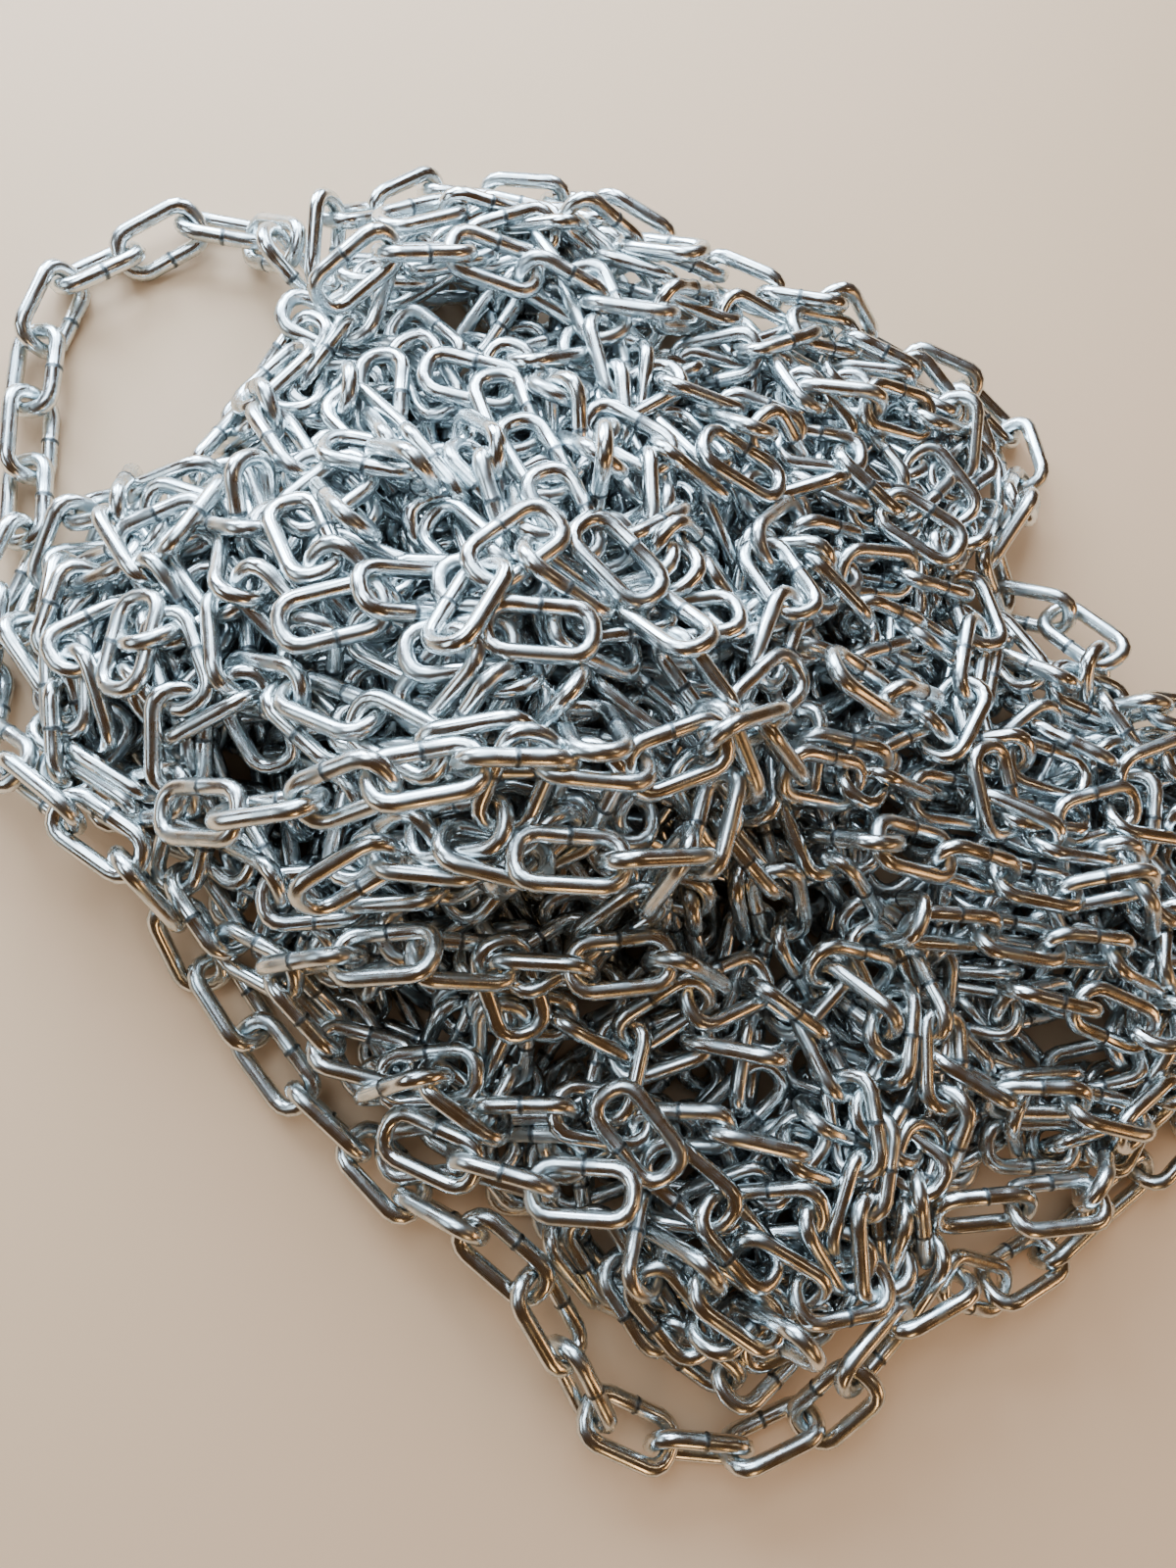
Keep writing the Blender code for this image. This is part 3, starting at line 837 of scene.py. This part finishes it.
def lay_batch(heap):
    """Lay wandering strands where the heap is lowest, and let them settle."""
    ground = ground_of(heap)
    lack, laid = still_to_fill(ground), 0
    while laid < BATCH_LINKS:
        neediest = np.argsort(lack.ravel(), kind="stable")[::-1][:NEEDIEST]
        tries = []
        for _ in range(TRIES):
            i, j = np.unravel_index(neediest[random.integers(0, NEEDIEST)], lack.shape)
            path = wander((grid_x[i, j], grid_y[i, j]), random.integers(*WALK_LINKS))
            if path is not None:
                tries.append((lack[cell_of(path[:, 0], path[:, 1])].mean(), len(tries), path))
        path = max(tries)[2]
        side = int(random.choice((-1, 1)))
        added = lay(heap, "fill", draped(path, ground), ALL_THAT_FIT, side, LAY_PITCH)
        laid += len(added)
        for middle, along in zip(heap.middles[added], heap.turns[added][:, :, 0]):
            forward = (grid_x - middle[0]) * along[0] + (grid_y - middle[1]) * along[1]
            aside = (grid_x - middle[0]) * along[1] - (grid_y - middle[1]) * along[0]
            under = (np.abs(forward) < LINK_LENGTH / 2.0) & (np.abs(aside) < HALF_BAND)
            top = middle[2] + forward * along[2] + HALF_BAND
            ground[under] = np.maximum(ground[under], top[under])
        i, j = cell_of(path[:, 0], path[:, 1])
        for a, b in zip(i[::COVERED_EVERY], j[::COVERED_EVERY]):
            lack[a - COVERED_CELLS:a + COVERED_CELLS + 1,
                 b - COVERED_CELLS:b + COVERED_CELLS + 1] -= STRAND_HEIGHT
    total = len(heap.middles)
    sink = np.where(np.arange(total) >= total - laid, NEW_SINK, OLD_SINK)
    return settle(heap, SPELL_STEPS, sink, PULL, cap_low=0.0 if total > CAPPED_FROM else None)


print("batches of %d links, each settled for %d steps" % (BATCH_LINKS, SPELL_STEPS))

# %% Laying a strand at its own place
DIP, DIP_LENGTH = 9.0, 24.0
HOME_SLACK = 0.4
HOME_CELLS = 7


def lay_at_home(heap, name, count, side, points):
    """Lay a strand that shows over its own place, clear of what lies there."""
    line = prolonged(route_line(name, points), LINK_LENGTH)
    ends = np.minimum(np.arange(len(line)), np.arange(len(line))[::-1]) * PATH_STEP
    line[:, 2] -= DIP * np.clip(1.0 - ends / DIP_LENGTH, 0.0, 1.0)**2
    ground = ground_of(heap)
    added = lay(heap, name, line, count, side, PITCH - HOME_SLACK)
    below = highest_near(ground, heap.middles[added, 0], heap.middles[added, 1], HOME_CELLS)
    lift = np.maximum(below + LAY_LIFT - heap.home[added, 2], 0.0)
    heap.middles[added, 2] += eased(eased(lift, 1, np.max), 1, np.mean)


print("the ends of a strand that shows dip %.0f mm" % DIP)

# %% [markdown]
# The whole chain
#
# Batches are laid until the heap is nearly as high as its cover. Then come the strands that show,
# and the last batches, which wander over and between them, as in the photograph. In a long rest
# the loose chain is pressed a little deeper under the cover, and a last spell without any sinking
# clears what it can of the overlaps that are left.

# %% Lay the chain, batch by batch
NEARLY_FULL = 16.5
LAST_BATCHES = 3
REST_STEPS = 420
REST_SINK = 0.04
CAP_LOW = 3.0
LAST_STEPS, LAST_PULL, LAST_CAP_LOW = 120, 0.01, 1.0
while still_to_fill(ground_of(heap))[fillable].mean() > NEARLY_FULL:
    overlap = lay_batch(heap)
    print("%d links, %.1f mm still to fill, overlap mean %.2f, worst %.2f mm"
          % (len(heap.middles), still_to_fill(ground_of(heap))[fillable].mean(),
             overlap.mean(), overlap.max()))
for name, count, side, points in SUMMIT_ROUTES + APRON_ROUTES:
    lay_at_home(heap, name, count, side, points)
settle(heap, SPELL_STEPS, REST_SINK, PULL, CAP_LOW)
for _ in range(LAST_BATCHES):
    lay_batch(heap)
settle(heap, REST_STEPS, REST_SINK, PULL, CAP_LOW)
overlap = settle(heap, LAST_STEPS, 0.0, LAST_PULL, LAST_CAP_LOW)
middles, turns = heap.middles, heap.turns
loose = heap.loose()
strand_names = np.array(heap.names)
owner = heap.strand
gaps = np.linalg.norm((heap.home - middles)[~loose], axis=1)
_, balls = arms_and_balls(heap)
print("links %d, overlap mean %.2f, worst %.2f mm, top %.1f mm, visible links %.1f mm from home"
      % (len(middles), overlap.mean(), overlap.max(), balls[:, 2].max() + WIRE / 2.0, gaps.mean()))

# %% [markdown]
# One link
#
# A link is bent from wire and butt welded in the middle of one side. Here it starts as a torus
# as wide as a crown. Each ring of points round it is pushed out a little, because the bender
# leaves the ends slightly square, and then its two halves are moved apart, which draws the faces
# between them out into the straight sides. Two more rings near the ends of each side keep the
# smooth shading of the crowns from creeping along the straight wire. The weld is a ring of edges
# bevelled into a narrow collar that stands a quarter of a millimetre proud.

# %% Helpers for edit mode
MM = 0.001


def only(piece):
    """Make one object the only selected and active one."""
    bpy.ops.object.select_all(action="DESELECT")
    piece.select_set(True)
    bpy.context.view_layer.objects.active = piece


def select_points(piece, wanted):
    """In edit mode, select only the points that pass a test on their place in millimetres."""
    bpy.ops.mesh.select_all(action="DESELECT")
    body = bmesh.from_edit_mesh(piece.data)
    for v in body.verts:
        if wanted(v.co / MM):
            v.select = True
    body.select_flush(True)
    bmesh.update_edit_mesh(piece.data)


def select_edges(piece, wanted):
    """In edit mode, select only the edges whose two ends pass a test together."""
    bpy.ops.mesh.select_all(action="DESELECT")
    body = bmesh.from_edit_mesh(piece.data)
    for e in body.edges:
        if wanted(e.verts[0].co / MM, e.verts[1].co / MM):
            e.select = True
    bmesh.update_edit_mesh(piece.data)


print("edit mode helpers: only, select_points, select_edges")

# %% Bend the link from a torus
WIRE_SIDES = 10
RING_STEPS = 18
SQUARENESS = 2.5
STRAIGHT_END = 7.0
NEAR = 0.1

bpy.ops.object.select_all(action="DESELECT")
bpy.ops.mesh.primitive_torus_add(major_segments=RING_STEPS, minor_segments=WIRE_SIDES,
                                 major_radius=CROWN * MM, minor_radius=WIRE / 2.0 * MM,
                                 location=(0.0, 0.0, 0.0))
link = bpy.context.active_object
link.name = "link"
only(link)
bpy.ops.object.mode_set(mode="EDIT")
bpy.ops.mesh.select_mode(type="VERT")
for step in range(RING_STEPS):
    angle = 2.0 * math.pi * step / RING_STEPS
    cosine, sine = math.cos(angle), math.sin(angle)
    radius = CROWN / (abs(cosine)**SQUARENESS + abs(sine)**SQUARENESS)**(1.0 / SQUARENESS)
    select_points(link, lambda p: abs(p.x * sine - p.y * cosine) < NEAR
                  and p.x * cosine + p.y * sine > 0)
    out = radius - CROWN
    bpy.ops.transform.translate(value=(out * cosine * MM, out * sine * MM, 0.0))
for side in (1.0, -1.0):
    select_points(link, lambda p: p.x * side > 0.0)
    bpy.ops.transform.translate(value=(side * HALF_SIDE * MM, 0.0, 0.0))
bpy.ops.mesh.select_mode(type="EDGE")
select_edges(link, lambda p, q: p.x * q.x < 0.0)
bpy.ops.mesh.subdivide(number_cuts=2)
bpy.ops.mesh.select_mode(type="VERT")
for side in (1.0, -1.0):
    select_points(link, lambda p: NEAR < p.x * side < HALF_SIDE / 2.0)
    third = abs(np.mean([v.co.x for v in bmesh.from_edit_mesh(link.data).verts if v.select]))
    bpy.ops.transform.translate(value=(side * (STRAIGHT_END * MM - third), 0.0, 0.0))
print("bent link:", len(bmesh.from_edit_mesh(link.data).faces), "faces")

# %% Weld the link and finish it
WELD_COLLAR = 0.25
WELD_WIDTH = 1.8
FLOOR_GAP = 0.05

bpy.ops.mesh.select_mode(type="EDGE")
select_edges(link, lambda p, q: p.x * q.x < 0.0 and p.y > 0.0)
bpy.ops.mesh.subdivide(number_cuts=1)
select_edges(link, lambda p, q: abs(p.x) < NEAR and abs(q.x) < NEAR)
bpy.ops.mesh.bevel(offset=WELD_WIDTH / 2.0 * MM, segments=2, affect="EDGES")
select_edges(link, lambda p, q: abs(p.x) < NEAR and abs(q.x) < NEAR)
swell = 1.0 + 2.0 * WELD_COLLAR / WIRE
side_y = np.mean([v.co.y for v in bmesh.from_edit_mesh(link.data).verts
                  if abs(v.co.x) < NEAR * MM])
bpy.ops.transform.resize(value=(1.0, swell, swell), center_override=(0.0, side_y, 0.0))
bpy.ops.mesh.select_all(action="SELECT")
bpy.ops.mesh.normals_make_consistent(inside=False)
bpy.ops.object.mode_set(mode="OBJECT")
bpy.ops.object.shade_smooth()
own_place = link.data.attributes.new("own_place", "FLOAT_VECTOR", "POINT")
own_place.data.foreach_set("vector", np.array([v.co[:] for v in link.data.vertices]).ravel() / MM)
shape = np.array([v.co[:] for v in link.data.vertices]) / MM
lowest = middles[:, 2] + (turns[:, 2, :] @ shape.T).min(axis=1)
middles[:, 2] += np.maximum(FLOOR_GAP - lowest, 0.0)
print("one link has", len(link.data.polygons), "faces and measures",
      ["%.1f mm" % (d / MM) for d in link.dimensions], "- links lifted:", (lowest < FLOOR_GAP).sum())

# %% [markdown]
# From resting places to chain
#
# A mesh with one point for each link carries the link's turn and a random number as attributes.
# Geometry Nodes puts the link on every point, turns it and realizes the copies, and applying the
# modifier leaves one ordinary mesh. The heap is cut into a handful of such meshes by zone and
# height, so that none of them grows too large. Every node here and below is added by one small
# function: an input is given as a number, a socket, or a node, which stands for its first output.

# %% Geometry Nodes group that sets the links
def add_node(tree, kind, inputs=(), **settings):
    """Add a node with its settings, and give its inputs, in order or by name, values or links."""
    node = tree.nodes.new(kind)
    for key, value in settings.items():
        setattr(node, key, value)
    for key, value in inputs.items() if isinstance(inputs, dict) else enumerate(inputs):
        if isinstance(value, bpy.types.Node):
            value = value.outputs[0]
        if isinstance(value, bpy.types.NodeSocket):
            tree.links.new(value, node.inputs[key])
        else:
            node.inputs[key].default_value = value
    return node


setter = bpy.data.node_groups.new("set_links", "GeometryNodeTree")
setter.interface.new_socket("Geometry", in_out="INPUT", socket_type="NodeSocketGeometry")
setter.interface.new_socket("Geometry", in_out="OUTPUT", socket_type="NodeSocketGeometry")
points_in = add_node(setter, "NodeGroupInput")
link_info = add_node(setter, "GeometryNodeObjectInfo", {"Object": link})
turn_of = add_node(setter, "GeometryNodeInputNamedAttribute", {"Name": "turn"},
                   data_type="FLOAT_VECTOR")
as_rotation = add_node(setter, "FunctionNodeEulerToRotation", (turn_of,))
placed = add_node(setter, "GeometryNodeInstanceOnPoints", {
    "Points": points_in, "Instance": link_info.outputs["Geometry"], "Rotation": as_rotation})
real = add_node(setter, "GeometryNodeRealizeInstances", (placed,))
add_node(setter, "NodeGroupOutput", (real,))
print("nodes that set the links:", len(setter.nodes))

# %% Set the chain in pieces
LINKS_A_PIECE = 220
tones = random.uniform(0.0, 1.0, len(middles))


def set_chain(name, chosen):
    """One mesh that holds all of the chosen links."""
    bpy.ops.object.select_all(action="DESELECT")
    bpy.ops.mesh.primitive_plane_add(size=0.01, location=(0.0, 0.0, 0.0))
    piece = bpy.context.active_object
    piece.name = name
    piece.data.clear_geometry()
    piece.data.vertices.add(len(chosen))
    piece.data.vertices.foreach_set("co", (middles[chosen] * MM).ravel())
    turn = piece.data.attributes.new("turn", "FLOAT_VECTOR", "POINT")
    eulers = np.array([Matrix(turns[k]).to_euler()[:] for k in chosen])
    turn.data.foreach_set("vector", eulers.ravel())
    tone = piece.data.attributes.new("tone", "FLOAT", "POINT")
    tone.data.foreach_set("value", tones[chosen])
    only(piece)
    bpy.ops.object.modifier_add(type="NODES")
    piece.modifiers[-1].node_group = setter
    bpy.ops.object.modifier_apply(modifier=piece.modifiers[-1].name)
    bpy.ops.object.shade_smooth()
    return piece


pieces = {}
for zone, names in ZONES.items():
    chosen = np.flatnonzero(np.isin(strand_names[owner], [zone, *names]))
    pieces[zone] = set_chain(zone, chosen)
low_first = np.flatnonzero(loose)[np.argsort(middles[loose, 2], kind="stable")]
for number, chosen in enumerate(np.array_split(low_first, math.ceil(len(low_first) / LINKS_A_PIECE))):
    name = "under_chain_%d" % (number + 1)
    pieces[name] = set_chain(name, chosen)
bpy.data.objects.remove(link)
for name, piece in pieces.items():
    print(name, len(piece.data.polygons), "faces")

# %% [markdown]
# Bright zinc plated steel
#
# The wire was drawn through a die, bent, welded, and then barrel plated with a thin bright coat
# of zinc. The plate mirrors the room with a cool blue white cast. Up close, drawing lines run
# along the wire, the barrel has left shallow dents where links knocked together, the plate is
# cloudy in places, and the weld shows as a duller, rougher line across the middle of one side.
# Everything is painted on the link's own place in millimetres, so each link carries its pattern
# with it, shifted by its own random number so that no two look the same.
#
# The drawing lines need to know the way of the wire. Across the wire only two numbers change:
# the distance from the line that joins the centres of the crowns, and the height over the link's
# plane. A noise that is read at those two, and hardly at all at the third, comes out as lines
# along the wire.

# %% Colours of the plate
def linear(code):
    """A colour as Blender wants it, from an sRGB hex code."""
    parts = [int(code[k:k + 2], 16) / 255.0 for k in (0, 2, 4)]
    parts = [p / 12.92 if p <= 0.04045 else ((p + 0.055) / 1.055)**2.4 for p in parts]
    return (*parts, 1.0)


ZINC_BRIGHT = linear("F3F7F7")
ZINC_CLOUDY = linear("D3DDE0")
ZINC_LINE = linear("B9C5C9")
ZINC_WELD = linear("8E9699")
ZINC_SEAM = linear("6A7073")

zinc = bpy.data.materials.new("bright_zinc_plated_steel")
zinc.use_nodes = True
tree = zinc.node_tree
shader = tree.nodes["Principled BSDF"]
shader.inputs["Metallic"].default_value = 1.0
print("material:", zinc.name)

# %% [markdown]
# Where on the link
#
# The link's own place comes from the attribute that was stored before the link was copied, and the
# random number shifts the noise to another part of its endless field. Between the crowns the
# distance from their line is just the second coordinate. Past the end of a straight side it is
# measured from the crown's centre, so it is right both round a crown and along a side.

# %% Places on the link
SHIFT_REACH = (870.0, 530.0, 290.0)
LINE_STRETCH = 0.03
place = add_node(tree, "ShaderNodeAttribute", attribute_name="own_place").outputs["Vector"]
tone = add_node(tree, "ShaderNodeAttribute", attribute_name="tone").outputs
shift = add_node(tree, "ShaderNodeVectorMath", (tone["Vector"], SHIFT_REACH), operation="MULTIPLY")
spot = add_node(tree, "ShaderNodeVectorMath", (place, shift), operation="ADD")
axes = add_node(tree, "ShaderNodeSeparateXYZ", (place,)).outputs
away = add_node(tree, "ShaderNodeMath", (axes["X"],), operation="ABSOLUTE")
past_side = add_node(tree, "ShaderNodeMath", (away, HALF_SIDE), operation="SUBTRACT")
past_side = add_node(tree, "ShaderNodeMath", (past_side, 0.0), operation="MAXIMUM")
past_square = add_node(tree, "ShaderNodeMath", (past_side, past_side), operation="MULTIPLY")
side_square = add_node(tree, "ShaderNodeMath", (axes["Y"], axes["Y"]), operation="MULTIPLY")
squares = add_node(tree, "ShaderNodeMath", (past_square, side_square), operation="ADD")
from_line = add_node(tree, "ShaderNodeMath", (squares,), operation="SQRT")
along_wire = add_node(tree, "ShaderNodeMath", (axes["X"], LINE_STRETCH), operation="MULTIPLY")
across_wire = add_node(tree, "ShaderNodeCombineXYZ", (from_line, axes["Z"], along_wire))
line_spot = add_node(tree, "ShaderNodeVectorMath", (across_wire, shift), operation="ADD")
print("nodes that tell the place:", len(tree.nodes))

# %% [markdown]
# Clouds, dents and drawing lines
#
# Each noise has features of a real size: clouds some 6 mm wide, dents some 7 mm, and the ragged
# edge of a weld about one. Eleven drawing lines fit in 5 mm. Real ones are finer, but they
# wouldn't show from half a metre away.

# %% Noises
CLOUD_SIZE = 6.25
DENT_SIZE = 50.0 / 7.0
LINE_SIZE = 5.0 / 11.0
RAG_SIZE = 10.0 / 9.0
clouds, dents, lines, rags = [
    add_node(tree, "ShaderNodeTexNoise", {"Vector": vector, "Scale": 1.0 / size, "Detail": detail})
    for vector, size, detail in ((spot, CLOUD_SIZE, 3.0), (spot, DENT_SIZE, 1.0),
                                 (line_spot, LINE_SIZE, 2.0), (spot, RAG_SIZE, 1.0))]
print("noises for clouds, dents, drawing lines and the edge of the weld")

# %% [markdown]
# The weld
#
# A butt weld is a dull ring round the wire, about a millimetre to each side of the middle, with a
# thin dark seam in it. A little noise makes both ragged. Only one side of the link is welded.
# A Map Range node turns one span of values into another, so each of its settings below is four
# numbers: the span that it reads, here mostly in millimetres, and the span that it gives.

# %% Masks of the weld
RAGGED = (0.3, 0.7, -0.35, 0.35)
WELDED_SIDE = (3.0, 5.0, 0.0, 1.0)
WELD_RING = (0.6, 1.1, 1.0, 0.0)
SEAM_RING = (0.12, 0.30, 1.0, 0.0)
ragged = add_node(tree, "ShaderNodeMapRange", (rags, *RAGGED))
off_middle = add_node(tree, "ShaderNodeMath", (axes["X"], ragged), operation="ADD")
from_weld = add_node(tree, "ShaderNodeMath", (off_middle,), operation="ABSOLUTE")
welded_side = add_node(tree, "ShaderNodeMapRange", (axes["Y"], *WELDED_SIDE))
at_weld, at_seam = [
    add_node(tree, "ShaderNodeMath", operation="MULTIPLY", inputs=(
        add_node(tree, "ShaderNodeMapRange", (from_weld, *ring)), welded_side))
    for ring in (WELD_RING, SEAM_RING)]
print("masks for the weld and its seam")

# %% [markdown]
# The colour
#
# The plate is painted in layers, each mixed over the ones before by its own mask: clouds, drawing
# lines, then the weld and its seam.

# %% Colour of the plate
CLOUDY = (0.40, 0.66, 0.0, 1.0)
LINED = (0.56, 0.70, 0.0, 0.7)
cloudy = add_node(tree, "ShaderNodeMapRange", (clouds, *CLOUDY))
lined = add_node(tree, "ShaderNodeMapRange", (lines, *LINED))
plate = ZINC_BRIGHT
for mask, colour in ((cloudy, ZINC_CLOUDY), (lined, ZINC_LINE),
                     (at_weld, ZINC_WELD), (at_seam, ZINC_SEAM)):
    layer = add_node(tree, "ShaderNodeMix", {0: mask, 6: plate, 7: colour}, data_type="RGBA")
    plate = layer.outputs[2]
tree.links.new(plate, shader.inputs["Base Color"])
print("colour mixed from %d nodes so far" % len(tree.nodes))

# %% [markdown]
# The gloss
#
# Bright plate has a roughness of some 0.1 to 0.3, and as it is metal its IOR is left alone. A
# rougher spot of real plate also looks greyer, so the clouds and lines that change the colour
# make the plate duller too. Each link is a little duller or brighter than the next, and a weld is
# dull all round.

# %% Gloss of the plate
CLOUD_ROUGHNESS = (0.35, 0.70, 0.17, 0.30)
LINE_ROUGHNESS = (0.50, 0.75, 0.0, 0.10)
TONE_ROUGHNESS = 0.05
WELD_ROUGHNESS = 0.20
roughness = add_node(tree, "ShaderNodeMapRange", (clouds, *CLOUD_ROUGHNESS))
for more in (add_node(tree, "ShaderNodeMapRange", (lines, *LINE_ROUGHNESS)),
             add_node(tree, "ShaderNodeMath", (tone["Fac"], TONE_ROUGHNESS), operation="MULTIPLY"),
             add_node(tree, "ShaderNodeMath", (at_weld, WELD_ROUGHNESS), operation="MULTIPLY")):
    roughness = add_node(tree, "ShaderNodeMath", (roughness, more), operation="ADD")
tree.links.new(roughness.outputs[0], shader.inputs["Roughness"])
print("roughness from %.2f where the plate is clear" % CLOUD_ROUGHNESS[2])

# %% [markdown]
# The relief
#
# The dents and lines are far too shallow to model, so they are bump, and the seam is pressed in a
# little deeper.

# %% Relief of the plate
LINE_RELIEF = 0.12
SEAM_RELIEF = 0.4
BUMP_STRENGTH, BUMP_DEPTH = 0.11, 0.0004
line_relief = add_node(tree, "ShaderNodeMath", (lines, LINE_RELIEF), operation="MULTIPLY")
seam_relief = add_node(tree, "ShaderNodeMath", (at_seam, SEAM_RELIEF), operation="MULTIPLY")
relief = add_node(tree, "ShaderNodeMath", (dents, line_relief), operation="ADD")
relief = add_node(tree, "ShaderNodeMath", (relief, seam_relief), operation="SUBTRACT")
bump = add_node(tree, "ShaderNodeBump", {"Height": relief, "Strength": BUMP_STRENGTH,
                                         "Distance": BUMP_DEPTH})
tree.links.new(bump.outputs[0], shader.inputs["Normal"])

for piece in pieces.values():
    piece.data.materials.clear()
    piece.data.materials.append(zinc)
print("nodes in the finish:", len(tree.nodes))

# %% [markdown]
# Floor
#
# The floor is a plain pale sheet, far larger than the heap, and it isn't part of the object.
# Its warm tint matters all the same: the undersides of the wires mirror it.

# %% Floor
FLOOR_SIZE = 8.0
FLOOR_COLOUR = linear("C9B096")
FLOOR_ROUGHNESS = 0.7
bpy.ops.object.select_all(action="DESELECT")
bpy.ops.mesh.primitive_plane_add(size=FLOOR_SIZE, location=(0.0, 0.0, 0.0))
floor = bpy.context.active_object
floor.name = "floor"
floor_paint = bpy.data.materials.new("pale_floor")
floor_paint.use_nodes = True
floor_shader = floor_paint.node_tree.nodes["Principled BSDF"]
floor_shader.inputs["Base Color"].default_value = FLOOR_COLOUR
floor_shader.inputs["Roughness"].default_value = FLOOR_ROUGHNESS
floor.data.materials.append(floor_paint)
print("floor: %.0f m wide" % floor.dimensions.x)

# %% [markdown]
# Light
#
# Polished metal shows nothing but its room, so the lights are large soft panels that the wires
# can mirror. Three tall cool panes beyond the heap draw several bright lines along each wire that
# faces away from the camera. Ceiling panels brighten what faces up, and low warm panels on the
# near side give the amber lines of the front. The panels are switched off for the camera itself,
# so that no view from the side shows one.

# %% Lights
PANELS = [("window_%d" % number, (x, 0.90, 0.50), (0.0, 0.05, 0.05), (0.30, 0.60), radiance, "DAECFF")
          for number, x, radiance in ((1, -0.80, 16.0), (2, -0.35, 16.0), (3, 0.10, 8.0))]
PANELS += [
    ("ceiling", (-0.40, 0.35, 1.05), (-0.05, 0.05, 0.05), (0.65, 0.42), 5.0, "DFF0FF"),
    ("ceiling_far", (-0.05, 0.85, 1.15), (0.0, 0.05, 0.0), (0.80, 0.22), 3.6, "DFF0FF"),
    ("left_wall", (-0.95, -0.10, 0.50), (0.0, 0.0, 0.0), (0.6, 0.25), 3.0, "DDEFFA"),
    ("right_lamp", (0.75, -0.10, 1.1), (0.0, 0.0, 0.0), (0.16, 0.16), 4.0, "FFDDB4"),
    ("warm_wall", (1.1, -0.55, 0.55), (0.0, -0.1, 0.0), (0.8, 0.18), 4.4, "E6B07C"),
    ("warm_door", (0.15, -1.25, 0.60), (0.0, -0.1, 0.0), (0.24, 0.5), 4.2, "E8BA86"),
]


def soft_light(name, place, aim, size, radiance, colour):
    """A flat soft panel at a place, facing a point, as bright as its radiance says."""
    data = bpy.data.lights.new(name, "AREA")
    data.shape = "RECTANGLE"
    data.size, data.size_y = size
    data.energy = radiance * math.pi * size[0] * size[1]
    data.color = linear(colour)[:3]
    lamp = bpy.data.objects.new(name, data)
    bpy.context.scene.collection.objects.link(lamp)
    lamp.location = place
    lamp.visible_camera = False
    lamp.rotation_euler = (Vector(aim) - Vector(place)).to_track_quat("-Z", "Y").to_euler()


for panel in PANELS:
    soft_light(*panel)

# %% [markdown]
# The room
#
# The room around the heap is a dim warm brown, because that is what makes metal look like metal:
# bright panels beside dark. Light Path tells the world which ray asks. Rays that leave the
# matt floor, and rays that look past it, meet a pale wall, and only mirrored rays meet the dim
# room. The medium high contrast look then gives the picture its deep gaps and clear whites.

# %% World and picture contrast
ROOM_COLOUR, ROOM_STRENGTH = linear("86664A"), 0.30
WALL_COLOUR, WALL_STRENGTH = linear("F0E8DF"), 0.72
world = bpy.data.worlds.new("studio")
world.use_nodes = True
air = world.node_tree
room = air.nodes["Background"]
room.inputs["Color"].default_value = ROOM_COLOUR
room.inputs["Strength"].default_value = ROOM_STRENGTH
pale_wall = add_node(air, "ShaderNodeBackground", {"Color": WALL_COLOUR, "Strength": WALL_STRENGTH})
ray = add_node(air, "ShaderNodeLightPath").outputs
matt_or_seen = add_node(air, "ShaderNodeMath", (ray["Is Camera Ray"], ray["Is Diffuse Ray"]),
                        operation="MAXIMUM")
around = add_node(air, "ShaderNodeMixShader", (matt_or_seen, room, pale_wall))
air.links.new(around.outputs[0], air.nodes["World Output"].inputs["Surface"])
bpy.context.scene.world = world
bpy.context.scene.view_settings.look = "AgX - Medium High Contrast"
print("world:", [node.bl_label for node in air.nodes])

# %% [markdown]
# Tie the pieces to the frame
#
# Each piece rides on the heap's one body, and the imported solids that it stands for are hidden.
# The strands underneath stand for the plain core.

# %% Ride and replace
for name, piece in pieces.items():
    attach(piece, "root")
    if name in ZONES:
        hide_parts(*[node for route in ZONES[name] for node in run_nodes(route)])
    else:
        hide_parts("heap_core")

print("cad box", [["%.4f" % v for v in c] for c in CAD_BOX])
